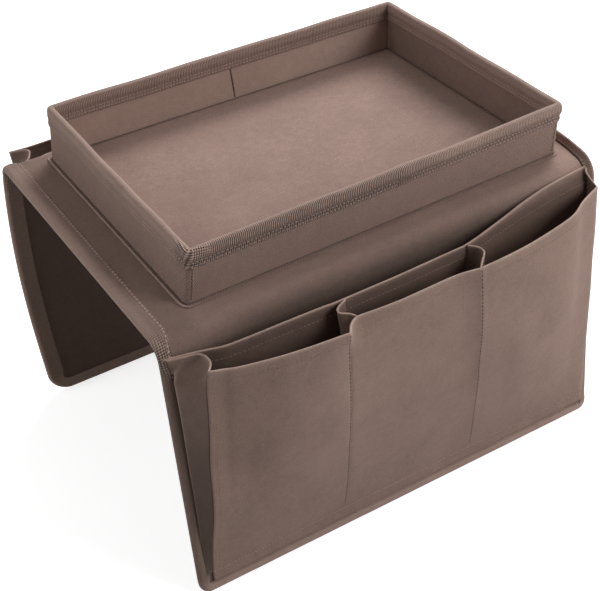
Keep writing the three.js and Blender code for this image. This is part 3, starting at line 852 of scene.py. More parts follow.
tray = {
    "middle": (13.5, 7.6),
    "halfX": 145.9,
    "halfY": 99.55,
    "height": 40.2,
    "endLean": 3.95,
    "rightHalfX": 143.4,
    "rightLean": -0.6,
    "sideLean": 1.75,
    "corner": 3.0,
    "bow": 0.5,
    "bowTurn": 1.8,  # how much of a sine wave the bow follows up the wall, in radians
    "rimWave": 0.35,
    "waves": (42, 11),  # length and seed
    "rimDip": 0.5,
    "dips": (60, 4),
    "waveReach": 140,  # half a wall's length as the waves see it
    "waveTurn": 37,  # how far the waves move on round the tray, per radian
    "dipTurn": 31,
    "step": 3.0,
}
trayMiddle = np.array(tray["middle"])


# Stations round the tray: for each, the signs that reach its corner's centre and the angle of its
# outward direction. Sides are straight, corners turn through 90 degrees
def trayStations(step, cornerSteps=7):
    across, angle = [], []
    corners = [(1, 1), (-1, 1), (-1, -1), (1, -1)]
    for number, (sideX, sideY) in enumerate(corners):
        across.append(np.tile([sideX, sideY], (cornerSteps, 1)).astype(float))
        angle.append(np.linspace(number, number + 1, cornerSteps) * np.pi / 2)
        toX, toY = corners[(number + 1) % 4]
        length = 2 * (tray["halfX"] if toY == sideY else tray["halfY"])
        shares = np.linspace(0, 1, int(length / step) + 1)[1:-1]
        across.append(between(np.array([sideX, sideY]), np.array([toX, toY]), shares[:, None]))
        angle.append(np.full(len(shares), (number + 1) * np.pi / 2))
    across, angle = np.concatenate(across), np.concatenate(angle)
    return np.concatenate([across, across[:1]]), np.concatenate([angle, angle[:1] + 2 * np.pi])


# Point of the tray at a station, an inset from its outer face and a height above the panel: the
# corner's centre plus its radius along the outward direction. Walls bow out a little between their
# corners, more towards the rim, which waves and dips there
def trayPoint(across, angle, inset, height):
    inset, height = np.broadcast_arrays(inset, height)
    share = height / tray["height"]
    radius = np.maximum(tray["corner"] - inset, saddle["leastRadius"])
    direction = np.stack([np.cos(angle), np.sin(angle)], axis=-1)[:, None]
    left = tray["halfX"] - tray["endLean"] * share
    right = tray["rightHalfX"] - tray["rightLean"] * share
    halves = np.stack([(left + right) / 2, tray["halfY"] + tray["sideLean"] * share], axis=-1)
    centre = (halves - (inset + radius)[..., None]) * across[:, None]
    plan = centre + radius[..., None] * direction
    plan[..., 0] += (right - left) / 2
    along = np.where(np.abs(across[:, :1]) < 1, across[:, :1], across[:, 1:])
    bow = tray["bow"] * (1 - along**2) * np.sin(np.clip(share, 0, 1) * tray["bowTurn"])
    reach, around = along * tray["waveReach"], angle[:, None]
    wave = waver(reach, tray["waveTurn"] * around, *tray["waves"])
    wave = tray["rimWave"] * wave * share * (1 - along**2)
    dip = waver(reach, tray["dipTurn"] * around, *tray["dips"])
    dip = tray["rimDip"] * dip * share**2 * (1 - along**4)
    plan = plan + direction * (bow + wave)[..., None] + trayMiddle
    return np.concatenate([plan, (saddle["panelTop"] + height + dip)[..., None]], axis=-1)


# A line of tray points at one inset, and at one height or a height for each
def trayLine(across, angle, inset, height):
    column = np.ones((len(across), 1))
    return trayPoint(across, angle, inset * column, np.reshape(height, (-1, 1)) * column)[:, 0]


# 1 on the left wall, falling to 0 round its corners
def facingLeft(angle):
    return np.clip(-np.cos(angle), 0, 1)[:, None]


# A band round the tray from a section of insets and heights. reshape changes the section from
# station to station, and marksOf gives the marks of all points. Rows run down the section and
# columns round the tray, so that the ring closes on itself
def trayBand(name, insets, heights, halfThickness, step=tray["step"], hem=1.0, reshape=None,
             marksOf=None):
    across, angle = trayStations(step)
    size = (len(angle), len(insets))
    insets, heights = np.broadcast_to(insets, size), np.broadcast_to(heights, size)
    if reshape is not None:
        insets, heights = reshape(across, angle, insets, heights)
    middle = trayPoint(across, angle, insets, heights)
    section = distances(np.stack([insets[0], heights[0]], axis=-1))
    half = hem * np.minimum(roundEdge(section, halfThickness),
                            roundEdge(section[-1] - section, halfThickness))
    travelled = distances(middle[:, len(section) // 2])
    uv = np.stack(np.broadcast_arrays(travelled[None], section[:, None]), axis=-1)
    marks = {} if marksOf is None else marksOf(across, angle, insets, heights)
    turned = middle.transpose(1, 0, 2)
    outward = (turned - np.array([*trayMiddle, 0])) * (1 - straightUp)
    marks = {mark: values.T for mark, values in marks.items()}
    clothSheet(name, turned, half[:, None], uv, outward, wrap=True, **marks)
    return (round(travelled[-1] * mm, 3), round(section[-1] * mm, 4))


trayCover = {
    "halfThickness": 0.23,
    "inset": 0.23,
    "heights": [39.4, 39.2, *np.linspace(38.5, 2.2, 16)],
    # inset, height, extra height on the left and share of thickness down the turned foot, which
    # ends in a thin raised seam with a furrow on each side of it
    "foot": [(0.2, 1.5, 0, 1), (0.05, 0.95, 0, 1), (-0.3, 0.6, 0, 1), (-0.8, 0.45, 0, 1),
             (-1.2, 0.4, 0, 1), (-1.6, 0.42, 0.2, 1.1), (-2.0, 0.45, 0.85, 1.3),
             (-2.4, 0.45, 0.95, 1.3), (-2.8, 0.42, 0.4, 1.1), (-3.15, 0.4, 0, 1)],
}
wallRows = [(trayCover["inset"], height, 0, 1) for height in trayCover["heights"]]
coverInsets, coverHeights, footSeam, hem = np.array(wallRows + trayCover["foot"]).T


# The foot's thin seam is raised on the left only
def raiseFoot(across, angle, insets, heights):
    return insets, heights + footSeam * facingLeft(angle)


# It is lighter there, where it catches the light
def footMarks(across, angle, insets, heights):
    return {"edgeMark": footSeam * facingLeft(angle)}


flat = trayBand("tray_cover_cloth", coverInsets, coverHeights, trayCover["halfThickness"],
                hem=hem, reshape=raiseFoot, marksOf=footMarks)
finishCloth("tray_cover_cloth", ["tray_outer_cover"], flat,
            body="saddle")

trayWall = {
    "halfThickness": 0.22,
    "inset": 2.66,
    "heights": [39.4, 39.1, *np.linspace(37, 3.2, 12), 2.6, 2.35, 2.25],
    "farLight": (0.75, 1.0),  # painted light, in the middle of the far wall and at its right end
    # painted shade on the right wall
    "rightShade": 0.26,
}


# Painted light on the wall lining: lighter on the far wall, more so to the right, and painted shade on the
# right wall
def wallPaintedLight(across, angle, insets, heights):
    paintedLightFar = (across[:, 1] == 1) * between(*trayWall["farLight"], across[:, 0])
    paintedShadeRight = trayWall["rightShade"] * (across[:, 0] == 1)
    every = np.ones(insets.shape)
    return {"edgeMark": every * paintedLightFar[:, None], "shade": every * paintedShadeRight[:, None]}


wallHeights = np.array(trayWall["heights"])
flat = trayBand("tray_wall_cloth", np.full(len(wallHeights), trayWall["inset"]), wallHeights,
                trayWall["halfThickness"], marksOf=wallPaintedLight)
finishCloth("tray_wall_cloth", ["tray_wall_lining"], flat,
            body="saddle")

rimTape = {
    "halfThickness": 0.27,
    "step": 1.6,
    "low": 26.7,
    "top": 38.6,
    "outerInset": -0.6,
    "innerInset": 3.4,
    "crownInset": 1.45,
    "crownReach": 2.2,
    "crownRise": 1.45,
    # share of the height and bulge from the lower edge up: a flat strip, the furrow of the
    # stitching, and a fuller roll to the top
    "leg": [(0, 0), (0.02, 0), (0.08, 0), (0.2, 0.02), (0.3, -0.1), (0.36, -0.28), (0.42, -0.1),
            (0.5, 0.45), (0.62, 0.95), (0.78, 1.0), (0.9, 0.7), (1.0, 0.25)],
    "innerBulge": 0.5,
    "leftFlatter": 0.7,
    "lapX": (22.0, 33.0),
    "lapHeight": 0.5,
    "bunchedReach": (5, 17),  # distance from the near left corner over which the bunching ends
    "smoothLeft": 0.85,
    "smoothRight": 0.65,
    "smoothRightFrom": (-0.1, 0.5),  # shares of the near wall, from its middle, where it sets in
    "smoothInside": (0.8, 0.45),  # on most walls and on the far one
    "rollHeight": 34.5,
    "rollLight": (0.25, 0.5),  # painted highlight on the roll's top, where the tape lies flat and where it is bunched
    # painted highlight on the roll along the left wall
    "leftLight": 0.175,
    "furrow": (30.5, 2.6),
    "furrowShade": (0.32, 0.064),  # painted shade in the stitching's furrow, elsewhere and on the left wall
    # height, inset and facing of the four rows of stitching
    "rows": [(28.6, -0.88, 1), (31.0, -0.68, 1), (28.6, 3.68, -1), (31.0, 3.55, -1)],
}


# Section of the tape: outer leg, half ellipse over the rim and inner leg
def rimSection():
    share, bulge = np.array(rimTape["leg"]).T
    angles = np.linspace(0, np.pi, 9)[1:-1]
    leg = between(rimTape["low"], rimTape["top"], share)
    inner = rimTape["innerInset"] + rimTape["innerBulge"] * bulge
    crown = rimTape["crownInset"] - rimTape["crownReach"] * np.cos(angles)
    insets = np.concatenate([rimTape["outerInset"] - bulge, crown, inner[::-1]])
    crownHeights = rimTape["top"] + rimTape["crownRise"] * np.sin(angles)
    return insets, np.concatenate([leg, crownHeights, leg[::-1]])


# The roll is flatter on the left wall, and the tape's two ends overlap on the near wall, where a
# low step shows between two places
def reshapeTape(across, angle, insets, heights):
    bulge = np.clip(rimTape["outerInset"] - insets, 0, 2)
    insets = insets + rimTape["leftFlatter"] * facingLeft(angle) * bulge
    x = across[:, 0] * tray["halfX"] + trayMiddle[0]
    start, end = rimTape["lapX"]
    lapped = ease(start, start + 1, x) * (1 - ease(end, end + 1, x)) * (across[:, 1] == -1)
    outside = np.where(insets > insets.mean(), -1, 1)
    return insets - rimTape["lapHeight"] * outside * lapped[:, None], heights


# Marks of the tape: bunched at the near left corner, worn smooth on the left wall, to the right of
# the near wall and inside, with a painted highlight on its roll and painted shade in its furrow
def rimWearAndShading(across, angle, insets, heights):
    inside = (insets > insets.mean())[:1]
    onLeft = facingLeft(angle)
    corner = np.hypot((across[:, :1] + 1) * tray["halfX"], (across[:, 1:] + 1) * tray["halfY"])
    bunched = (1 - ease(*rimTape["bunchedReach"], corner)) * ~inside
    onNear, onFar = across[:, 1:] == -1, across[:, 1:] == 1
    onRight = rimTape["smoothRight"] * ease(*rimTape["smoothRightFrom"], across[:, :1]) * onNear
    smooth = np.maximum(rimTape["smoothLeft"] * onLeft, onRight)
    worn = np.maximum(between(*rimTape["smoothInside"], onFar) * inside, smooth) * (1 - bunched)
    light = between(*rimTape["rollLight"], bunched)
    light = np.maximum(rimTape["leftLight"] * onLeft, light) * (heights[:1] > rimTape["rollHeight"])
    furrow = bell(heights[:1], *rimTape["furrow"]) * ~inside
    shade = between(*rimTape["furrowShade"], onLeft) * furrow
    return {"coarse": bunched, "worn": worn, "edgeMark": light, "shade": shade}


flat = trayBand("tray_rim_tape", *rimSection(), rimTape["halfThickness"], step=rimTape["step"],
                reshape=reshapeTape, marksOf=rimWearAndShading)
finishCloth("tray_rim_tape", ["tray_rim_binding"], flat,
            body="saddle")

traySeams = {
    "footInset": -0.25,
    "footHeight": 0.95,
    "wallX": 15.3,
    "wallInset": 2.95,
    "wallSlant": 1.5,
    "cornerInset": -0.02,
    "cornerX": 1.5,
    "furrowX": 0.6,
    "rise": (3, 27),
    "count": 30,
}


# Stitching of the tray: rows that hold the rim tape, a dark line of painted shade where the foot is
# sewn down, the lining's slanting seam on the far wall drawn dark as painted shade, and rows down the
# two near corners, each with a dark line of painted shade beside it
def sewTray():
    group = "tray_stitching"
    across, angle = trayStations(tray["step"])
    outwards = np.stack([np.cos(angle), np.sin(angle), 0 * angle], axis=-1)
    for height, inset, facing in rimTape["rows"]:
        sew(group, trayLine(across, angle, inset, height), outwards * facing, "rimRow")
    foot = trayLine(across, angle, traySeams["footInset"], traySeams["footHeight"])
    sew(group, foot, outwards, "footShadeLine")
    count = traySeams["count"]
    rise = np.linspace(*traySeams["rise"], count)
    towardsNear = np.array([0, -1.0, 0])
    across = np.tile([(traySeams["wallX"] - trayMiddle[0]) / tray["halfX"], 1.0], (count, 1))
    line = trayLine(across, np.full(count, np.pi / 2), traySeams["wallInset"], rise)
    line[:, 0] += np.linspace(traySeams["wallSlant"], -traySeams["wallSlant"], count)
    sew(group, line, towardsNear, "wallSeamShadeLine")
    for sideX in (-1, 1):
        across = np.tile([float(sideX), -1.0], (count, 1))
        for kind, offset in (("cornerRow", traySeams["cornerX"]), ("cornerShadeLine", traySeams["furrowX"])):
            line = trayLine(across, np.full(count, 1.5 * np.pi), traySeams["cornerInset"], rise)
            line[:, 0] -= sideX * offset
            sew(group, line, towardsNear, kind)


sewTray()

trayBoards = {
    "thickness": 1.4,
    "inset": 1.45,
    "heights": (0.7, 38.9),
    "floorX": (-129.0, 153.3),
    "floorY": (-88.4, 103.6),
    "floorZ": 197.4,
}
for name, (wallX, wallY) in {"near": (0, -1), "far": (0, 1), "left": (-1, 0), "right": (1, 0)}.items():
    along = np.linspace(-1, 1, 40)[:, None]
    across = along * [wallX == 0, wallY == 0] + [float(wallX), float(wallY)]
    angle = np.full(len(along), np.arctan2(wallY, wallX))
    heights = np.linspace(*trayBoards["heights"], 12)[None]
    inset = np.full((len(along), 1), trayBoards["inset"])
    boardSheet(f"tray_{name}_stiffener", f"tray_{name}_board", "saddle",
               trayPoint(across, angle, inset, heights), trayBoards["thickness"],
               np.array([wallX, wallY, 0.0]))
middle = levelGrid(trayBoards["floorX"], trayBoards["floorY"], trayBoards["floorZ"], 30, 20)
boardSheet("tray_floor_stiffener", "tray_floor_board", "saddle", middle, trayBoards["thickness"],
           straightUp)

trayFloor = {"halfThickness": 0.22, "inset": 3.25, "height": 2.25, "rise": 0.5, "unevenness": 0.3,
             "waves": (75, 8), "flatness": 8}


# Floor: a rectangle of cloth inside the walls, raised a little by a flat-topped mound with waves
def trayFloorCloth(name):
    halfX = (tray["halfX"] + tray["rightHalfX"]) / 2 - trayFloor["inset"]
    halfY = tray["halfY"] - trayFloor["inset"]
    middle = levelGrid((-halfX, halfX), (-halfY, halfY), 0.0, 90, 64)
    x, y = middle[..., 0].copy(), middle[..., 1].copy()
    mound = (1 - (x / halfX) ** trayFloor["flatness"]) * (1 - (y / halfY) ** trayFloor["flatness"])
    waves = trayFloor["unevenness"] * waver(x, y, *trayFloor["waves"])
    middle[..., 0] += trayMiddle[0] + (tray["rightHalfX"] - tray["halfX"]) / 2
    middle[..., 1] += trayMiddle[1]
    middle[..., 2] = saddle["panelTop"] + trayFloor["height"] + mound * (trayFloor["rise"] + waves)
    uv = np.stack([x, y], axis=-1)
    clothSheet(name, middle, trayFloor["halfThickness"], uv, straightUp)
    return (round(2 * halfX * mm, 3), round(2 * halfY * mm, 3))


flat = trayFloorCloth("tray_floor_cloth")
finishCloth("tray_floor_cloth", ["tray_floor_lining"], flat,
            body="saddle")
print("tray made")

# Pockets of a flap

# Every curve is a list of (place, value) knots: how far a cloth stands off the flap, or how far
# its mouth lies below the hinge, against x
sharedEdge = [(-87, 38.6), (-72.8, 40.5), (-62, 41.8), (-58.7, 42.3), (-56.4, 39.4), (-52, 34),
              (-45.1, 30.4), (-32, 31.8), (-11.2, 33.2), (23.5, 33), (38, 35.4), (43.5, 36.9),
              (48, 36.7), (58, 36.6), (86, 34.5)]
pockets = {
    "halfThickness": 0.4,
    "sleeveInset": 1.6,
    "sleeveHalfWidth": 163.4,
    "sleeveHeight": 0.65,
    "sleeveDroop": 0.6,
    "droopReach": (90, 30),  # to the sides and down
    "unevenness": 0.18,
    "sleeveWaves": (50, 21),  # length and seed
    "sleeveWavesReach": 150,
    "sleeveStep": 4.5,
    "sleeveColumns": 96,
    "sleeveRow": 8.0,
    "sleeveRowSkip": 6,
    "sleeveHemFade": (0.3, 2.4),
    "frontHeight": 1.7,
    "frontMargin": 7.3,
    "frontMouth": 9.0,
    "frontStep": 4.0,
    "frontRow": 8.2,
    "frontRowSkip": 3,
    "zigzagMargin": 8.6,
    "zigzagTurn": 0.75,
    "seamMargin": 16.0,
    "mouth": 4.0,
    "bendSpread": 1.02,
    "hemFade": (0.3, 2.2),
    "hemThickness": 1.9,  # share of the half thickness
    "hemEnd": (0.4, 1.6),
    "ontoBendX": (60, 140),  # x and drop over which the cloths pass onto the round bend
    "ontoBendDrop": (1, 6),
    "creaseX": (-147, -112),  # x over which the left crease gives way to the bellies
    "bellyPower": 1.45,
    "sleevePower": 1.25,
    "sleeveEdge": [(-163.4, 0.65), (-160.5, 1.2), (-143.5, 5.9), (-124, 12.3), (-62, 14.9),
                   (-48.8, 15.9), (0, 16), (44, 15.7), (56, 13.6), (79, 8.6), (103, 4.6),
                   (125, 2.4), (145, 1.2), (162.5, 0.65)],
    "sleeveTop": [(-163, 4), (45, 4), (79, 2.6), (103, 1.0), (125, -0.6), (163, -2.9)],
    "near": {
        "frontEdge": [(-146.6, 27), (-137, 28.4), (-128.7, 30.6), (-105, 35.1), *sharedEdge,
                      (123, 27.6), (142.3, 17.3), (160.7, 9.5)],
        "frontTop": [(-147, 5.5), (-128.7, 8.5), (-105, 10), (86, 9.8), (100, 9), (123, 9),
                     (142.3, 8.5), (160.7, 8)],
        "gussetMouth": ([0, 6.4, 12, 12, 8.1, 0], [0, -2.5, -5, -5, -2, 0]),
    },
    "far": {
        "frontEdge": [(-146.6, 35.4), (-137, 34.4), (-128.7, 34.2), (-105, 36.1), *sharedEdge,
                      (120.6, 30.0), (138, 23.0), (152.5, 17.0)],
        "frontTop": [(-147, 4.8), (-115, 5.2), (-72, 7), (0, 9), (86, 9), (120, 7), (152, 3)],
        "gussetMouth": ([0, 6.4, 13, 16, 15, 0], [0, -2.5, -3, -1, 2, 0]),
    },
    # how far each place of the front moves sideways from the mouth to the seam
    "frontDrift": [(-146.6, -8.4), (-58.7, 7.5), (-45.1, 4), (43.5, 12), (86, 10), (123, 7),
                   (160.7, 0)],
    "pleatedX": (-72, 38),
    "pleatFade": (0.015, 0.1),  # levels over which the pleat closes
    "belowPleat": [(-72.8, 40.5), (-62, 39.6), (-58.7, 38.8), (-56.4, 39.2), (-52, 38.8),
                   (-45.1, 37.8), (-32, 35.9), (-11.2, 34), (23.5, 33.4), (38, 35.4)],
    "leftFall": [(0, 1), (0.084, 0.8), (0.2, 0.76), (0.33, 0.66), (0.45, 0.535), (0.54, 0.53),
                 (0.65, 0.48), (0.856, 0.165), (1, 0)],
    # columns between each two neighbouring control points of the front
    "frontColumns": [7, 5, 7, 7, 5, 4, 4, 3, 4, 4, 4, 6, 8, 5, 4, 4, 4, 7, 8, 5, 5],
    "frontSeams": {"pleatSeam": 7, "ridgeSeam": 15, "creaseSeam": 0.4},
    "bellies": [(-100, 30, 2.0), (0, 32, 1.6), (105, 34, 2.0)],  # x, width and depth of each
    "frontUnevenness": 0.5,
    "frontWaves": (38, 31),
    "creaseDepth": 0.28,
    "creases": (13, 53),
    "creaseSlant": (0.9, 0.25),
    "foldLight": (0.35, 0.9),  # of the line down the fold at the left gusset, and its width
    "seamRows": (4, -6),  # rows of the front's grid from which and to which its seams run
    "creasedAt": [(-112, 24), (-66, 12)],
}

# Folded walls: x of their line down the sleeve against level, its lift off the sleeve, the front's
# control point that they end at, their lift there, and how far their folds move sideways
foldedWalls = {
    "gusset_right": ([(0, 161.5), (1, 162.6)], 0.6, 21, -0.2, [0, -2.6, -3.0, -1.4, 0]),
    "divider_left": ([(0, -45), (1, -44)], 0.85, 10, -0.9, [0, -7.5, -8.5, -3, 0]),
    "divider_right": ([(0, 48), (1, 51)], 0.85, 15, -0.9, [0, 6.5, 8, 4, 0]),
}
fold = {
    "step": 5.0,
    "columns": 7,  # between each two control points
    "frontDrop": 0.3,
    "backDrop": 0.6,
    "pastSeam": 2,
    "mouthFade": (0.01, 0.09),  # levels over which the mouth's moves pass into those below
    "sidewaysLoss": 0.75,
    "creaseAt": (0.9, 0.35),
    "hemThickness": 1.7,
    # painted shade that deepens down the gussets and dividers
    "shade": 0.47,
    "shadeFade": (0.05, 0.7),
    "leastWidth": 0.01,  # metres
}
leftGusset = {
    "line": ([(0, -161.4), (0.04, -160.5), (0.09, -155.5), (0.2, -155.5), (0.5, -156.5),
              (1, -158.5)], 0.85, 0, -0.2),
    "belowMouth": ([0, -6.1, -5.4, -3.8, -1.9, 0], [0, -2.6, -2.3, -1.5, -0.7, 0]),
    "crease": 0.9,
}


# Point of a pocket: on the flap's plane, passing at the right end onto the round bend
def pocketPoint(side, x, drop, height):
    x, drop, height = np.broadcast_arrays(x, drop, height)
    bendX = np.minimum(x * pockets["bendSpread"], saddle["halfWidth"])
    onBend = placeOn(side, bendX, runOfDrop(side, drop), height)
    share = ease(*pockets["ontoBendX"], x) * (1 - ease(*pockets["ontoBendDrop"], drop))
    return between(placeOnFlap(side, x, drop, height), onBend, share[..., None])


# How far the front panel stands off at a level, as a share of its mouth: the measured curve at the
# left crease, passing into one minus the level to a power
def frontFall(x, level):
    left = lineThrough(pockets["leftFall"], level)
    belly = 1 - np.clip(level, 0, 1) ** pockets["bellyPower"]
    return between(left, belly, ease(*pockets["creaseX"], x))


# Drop of the seam that closes the pockets' bottom
def seamDrop(side):
    return side["bottom"] - pockets["seamMargin"]


# How far the sleeve stands off the flap: its mouth's curve, falling to the seam by a power
def sleeveHeightAt(side, x, drop):
    edge, flat = lineThrough(pockets["sleeveEdge"], x), pockets["sleeveHeight"]
    top = lineThrough(pockets["sleeveTop"], x)
    share = np.clip((drop - top) / (seamDrop(side) - top), 0, 1)
    return between(flat, edge, (1 - share) ** pockets["sleevePower"])


# Half thickness of a pocket cloth: a thicker hem at the mouth, round at the free edge
def pocketHalf(distance, hem=pockets["hemThickness"]):
    half = pockets["halfThickness"] * between(hem, 1, ease(*pockets["hemEnd"], distance))
    return np.where(distance < half, roundEdge(distance, pockets["halfThickness"] * hem), half)


# The sleeve: a grid from the mouth's curve down to the flap's bottom, with a slight droop
def sleeve(side, name):
    inset, mouth = pockets["sleeveInset"], pockets["mouth"]
    bottom = side["bottom"] - inset
    distance = stops(bottom - mouth, pockets["sleeveStep"], freeStart=True)
    loss = np.maximum(cornerLoss(side, runOfDrop(side, distance + mouth), inset), 0)
    x = (pockets["sleeveHalfWidth"] - loss)[:, None] * np.linspace(-1, 1, pockets["sleeveColumns"])
    top = lineThrough(pockets["sleeveTop"], x)
    drop = top + distance[:, None] * (bottom - top) / (bottom - mouth)
    waves = pockets["unevenness"] * waver(x, drop, *pockets["sleeveWaves"])
    waves = waves * bell(x, 0, pockets["sleeveWavesReach"])
    sideways, down = pockets["droopReach"]
    droop = pockets["sleeveDroop"] * bell(x, 0, sideways) * (1 - ease(0, down, drop - top))
    middle = pocketPoint(side, x, drop + droop, sleeveHeightAt(side, x, drop) + waves)
    mark = (1 - ease(*pockets["sleeveHemFade"], distance))[:, None]
    uv = np.stack([x, drop], axis=-1)
    half = pocketHalf(distance)[:, None]
    made = clothSheet(name, middle, half, uv, side["outward"], edgeMark=mark)
    row = np.argmin(np.abs(distance - pockets["sleeveRow"]))
    group, skip = side["name"] + "_stitching", pockets["sleeveRowSkip"]
    for face, way in (("front", 1), ("back", -1)):
        sew(group, made[face][row], way * made["normal"][row], "mouthRow", skip)
    # its width is measured along a row below the hem
    return (lengthOf(middle[6]), round((bottom - mouth) * mm, 3))


# Control points of the front panel at each level, and how deep each stands below its own mouth.
# The pleat stands open at the mouth only, and lies flat below it
def frontPoints(side, level):
    edgeX, edge = np.array(pockets[side["name"]]["frontEdge"], float).T
    level = np.clip(level, 0, 1)[:, None]
    start, end = pockets["pleatedX"]
    pleated = (edgeX > start) & (edgeX < end)
    smooth = np.where(pleated, lineThrough(pockets["belowPleat"], edgeX), edge)
    stand = between(edge, smooth, ease(*pockets["pleatFade"], level))
    top = lineThrough(pockets[side["name"]]["frontTop"], edgeX)
    x = edgeX + lineThrough(pockets["frontDrift"], edgeX) * level
    height = between(pockets["frontHeight"], stand, frontFall(edgeX, level))
    return np.stack([x, height, between(top, seamDrop(side), level)], axis=-1)


# The front: a spline through the control points of each level, with a belly in each pocket, fine
# waves, and slanting creases beside the left gusset and the pleat
def frontPanel(side, name):
    depth = side["bottom"] - pockets["frontMargin"] - pockets["frontMouth"]
    seamDepth = seamDrop(side) - pockets["frontMouth"]
    distance = stops(depth, pockets["frontStep"], freeStart=True, freeEnd=True)
    points = frontPoints(side, distance / seamDepth)
    points[..., 2] += np.maximum(distance - seamDepth, 0)[:, None]
    columns = pockets["frontColumns"]
    places = [np.arange(count) / count + i for i, count in enumerate(columns)]
    places = np.concatenate(places + [[len(columns)]])
    curve = splineAt(points[..., :2], places)
    x, height = curve[..., 0], curve[..., 1]
    drop = splineAt(points[..., 1:], places)[..., 1]
    belly = sum(reach * bell(x, place, width) for place, width, reach in pockets["bellies"])
    belly = belly + pockets["frontUnevenness"] * waver(x, drop, *pockets["frontWaves"])
    creased = pockets["creaseDepth"] * sum(bell(x, *place) for place in pockets["creasedAt"])
    slant, spread = pockets["creaseSlant"]
    belly = belly + creased * waver(x + slant * drop, spread * drop, *pockets["creases"])
    down = np.clip(distance / depth, 0, 1)[:, None]
    middle = pocketPoint(side, x, drop, height + np.sin(np.pi * down) * belly)
    lowerEdge = np.where(depth - distance < 1, roundEdge(depth - distance, pockets["halfThickness"]), 1)
    half = np.minimum(pocketHalf(distance), lowerEdge)[:, None]
    mark = (1 - ease(*pockets["hemFade"], distance))[:, None]
    light, width = pockets["foldLight"]
    mark = np.clip(mark + light * bell(x, points[:, :1, 0], width), 0, 1)
    uv = np.stack([x, drop], axis=-1)
    made = clothSheet(name, middle, half, uv, side["outward"], edgeMark=mark)
    group, front, up = side["name"] + "_stitching", made["front"], made["normal"]
    row = np.argmin(np.abs(distance - pockets["frontRow"]))
    sew(group, front[row], up[row], "mouthRow", skip=pockets["frontRowSkip"])
    rows = slice(*pockets["seamRows"])
    for kind, place in pockets["frontSeams"].items():
        column = np.argmin(np.abs(places - place))
        sew(group, front[rows, column], up[rows, column], kind)
    row = np.argmin(np.abs(distance - (depth - pockets["zigzagMargin"])))
    sew(group, front[row], up[row], "zigzagRow", zigzag=pockets["zigzagTurn"])
    # its width is measured along a row below the hem
    return (lengthOf(middle[5]), round(depth * mm, 3))


# A line down the front panel at one of its control points, set back a little
def frontLine(side, index, lift, levels):
    x, height, drop = frontPoints(side, levels)[:, index].T
    return np.stack([x, height + lift, drop + fold["frontDrop"]], axis=-1)[:, None]


# A line down the sleeve, a little off its face
def sleeveLine(side, knots, lift, levels):
    x = lineThrough(knots, levels)
    top = lineThrough(pockets["sleeveTop"], x) + fold["backDrop"]
    drop = between(top, seamDrop(side) + fold["pastSeam"], levels)
    return np.stack([x, sleeveHeightAt(side, x, drop) + lift, drop], axis=-1)[:, None]


# A folded wall between two lines down the pocket: control points across it, moved sideways and
# outwards by one list at the mouth and another below it, and a spline through them at every level
def foldedWall(side, name, knots, backLift, index, frontLift, mouth, below, creased=0.0):
    length = seamDrop(side) + fold["pastSeam"] - pockets["mouth"]
    levels = stops(length, fold["step"], freeStart=True) / length
    mouth, below = np.array(mouth, float)[:, None], np.array(below, float)[:, None]
    last = mouth.shape[-1] - 1
    back = sleeveLine(side, knots, backLift, levels)
    front = frontLine(side, index, frontLift, levels)
    points = between(back, front, np.linspace(0, 1, last + 1)[None, :, None])
    passed = ease(*fold["mouthFade"], levels)[:, None]
    sideways, outwards = between(mouth, below, passed)
    points[..., 0] += sideways * (1 - fold["sidewaysLoss"] * levels)[:, None]
    points[..., 1] += outwards * (1 - levels)[:, None]
    places = np.linspace(0, last, last * fold["columns"] + 1)
    curve = splineAt(points[..., :2], places)
    drops = splineAt(points[..., 1:], places)[..., 1]
    middle = pocketPoint(side, curve[..., 0], drops, curve[..., 1])
    distance = drops - drops[:1]
    marks = 1 - ease(*pockets["hemFade"], distance)
    marks = np.maximum(marks, creased * bell(places, *fold["creaseAt"]) * passed)
    uv = np.stack(np.broadcast_arrays(distances(middle[0])[None], drops), axis=-1)
    # painted shade, darker towards the bottom of the pocket
    shade = fold["shade"] * ease(*fold["shadeFade"], levels)[:, None]
    half = pocketHalf(distance, hem=fold["hemThickness"])
    clothSheet(name, middle, half, uv, side["outward"], edgeMark=marks, shade=shade)
    length = round(length * mm, 3)
    return (max(meanWidth(middle, length), fold["leastWidth"]), length)


# All cloths of one flap's pockets: sleeve, front, two gussets and two dividers
def flapPockets(side):
    name, body = side["name"], side["body"]
    flat = sleeve(side, name + "_sleeve_cloth")
    finishCloth(name + "_sleeve_cloth", [body + "_rear_sleeve"], flat,
                body=body)
    flat = frontPanel(side, name + "_front_cloth")
    finishCloth(name + "_front_cloth", [body + "_front_panel"], flat,
                body=body)
    mouth = pockets[name]["gussetMouth"]
    walls = {"gusset_left": (*leftGusset["line"], mouth, leftGusset["belowMouth"], leftGusset["crease"])}
    for wall, (*line, sideways) in foldedWalls.items():
        moves = (sideways, [0] * len(sideways))
        walls[wall] = (*line, moves, moves)
    for wall, parts in walls.items():
        flat = foldedWall(side, f"{name}_{wall}_cloth", *parts)
        finishCloth(f"{name}_{wall}_cloth", [f"{body}_{wall}"], flat,
                    body=body)


flapPockets(near)
flapPockets(far)
print("pockets made")

for group in stitchRows:
    piece = writeStitches(group)
    if group == "tray_stitching":
        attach(piece, "saddle")
    else:
        bendAcross(piece)
print("stitching made")

# Materials

# Joins an output to an input of the same tree
def link(source, target):
    target.id_data.links.new(source, target)


# A node with settings, and with its inputs set to numbers or joined to sockets by their labels
def newNode(tree, kind, inputs=None, **settings):
    node = tree.nodes.new("ShaderNode" + kind)
    for setting, value in settings.items():
        setattr(node, setting, value)
    for label, value in (inputs or {}).items():
        if isinstance(value, bpy.types.NodeSocket):
            link(value, node.inputs[label])
        else:
            node.inputs[label].default_value = value
    return node


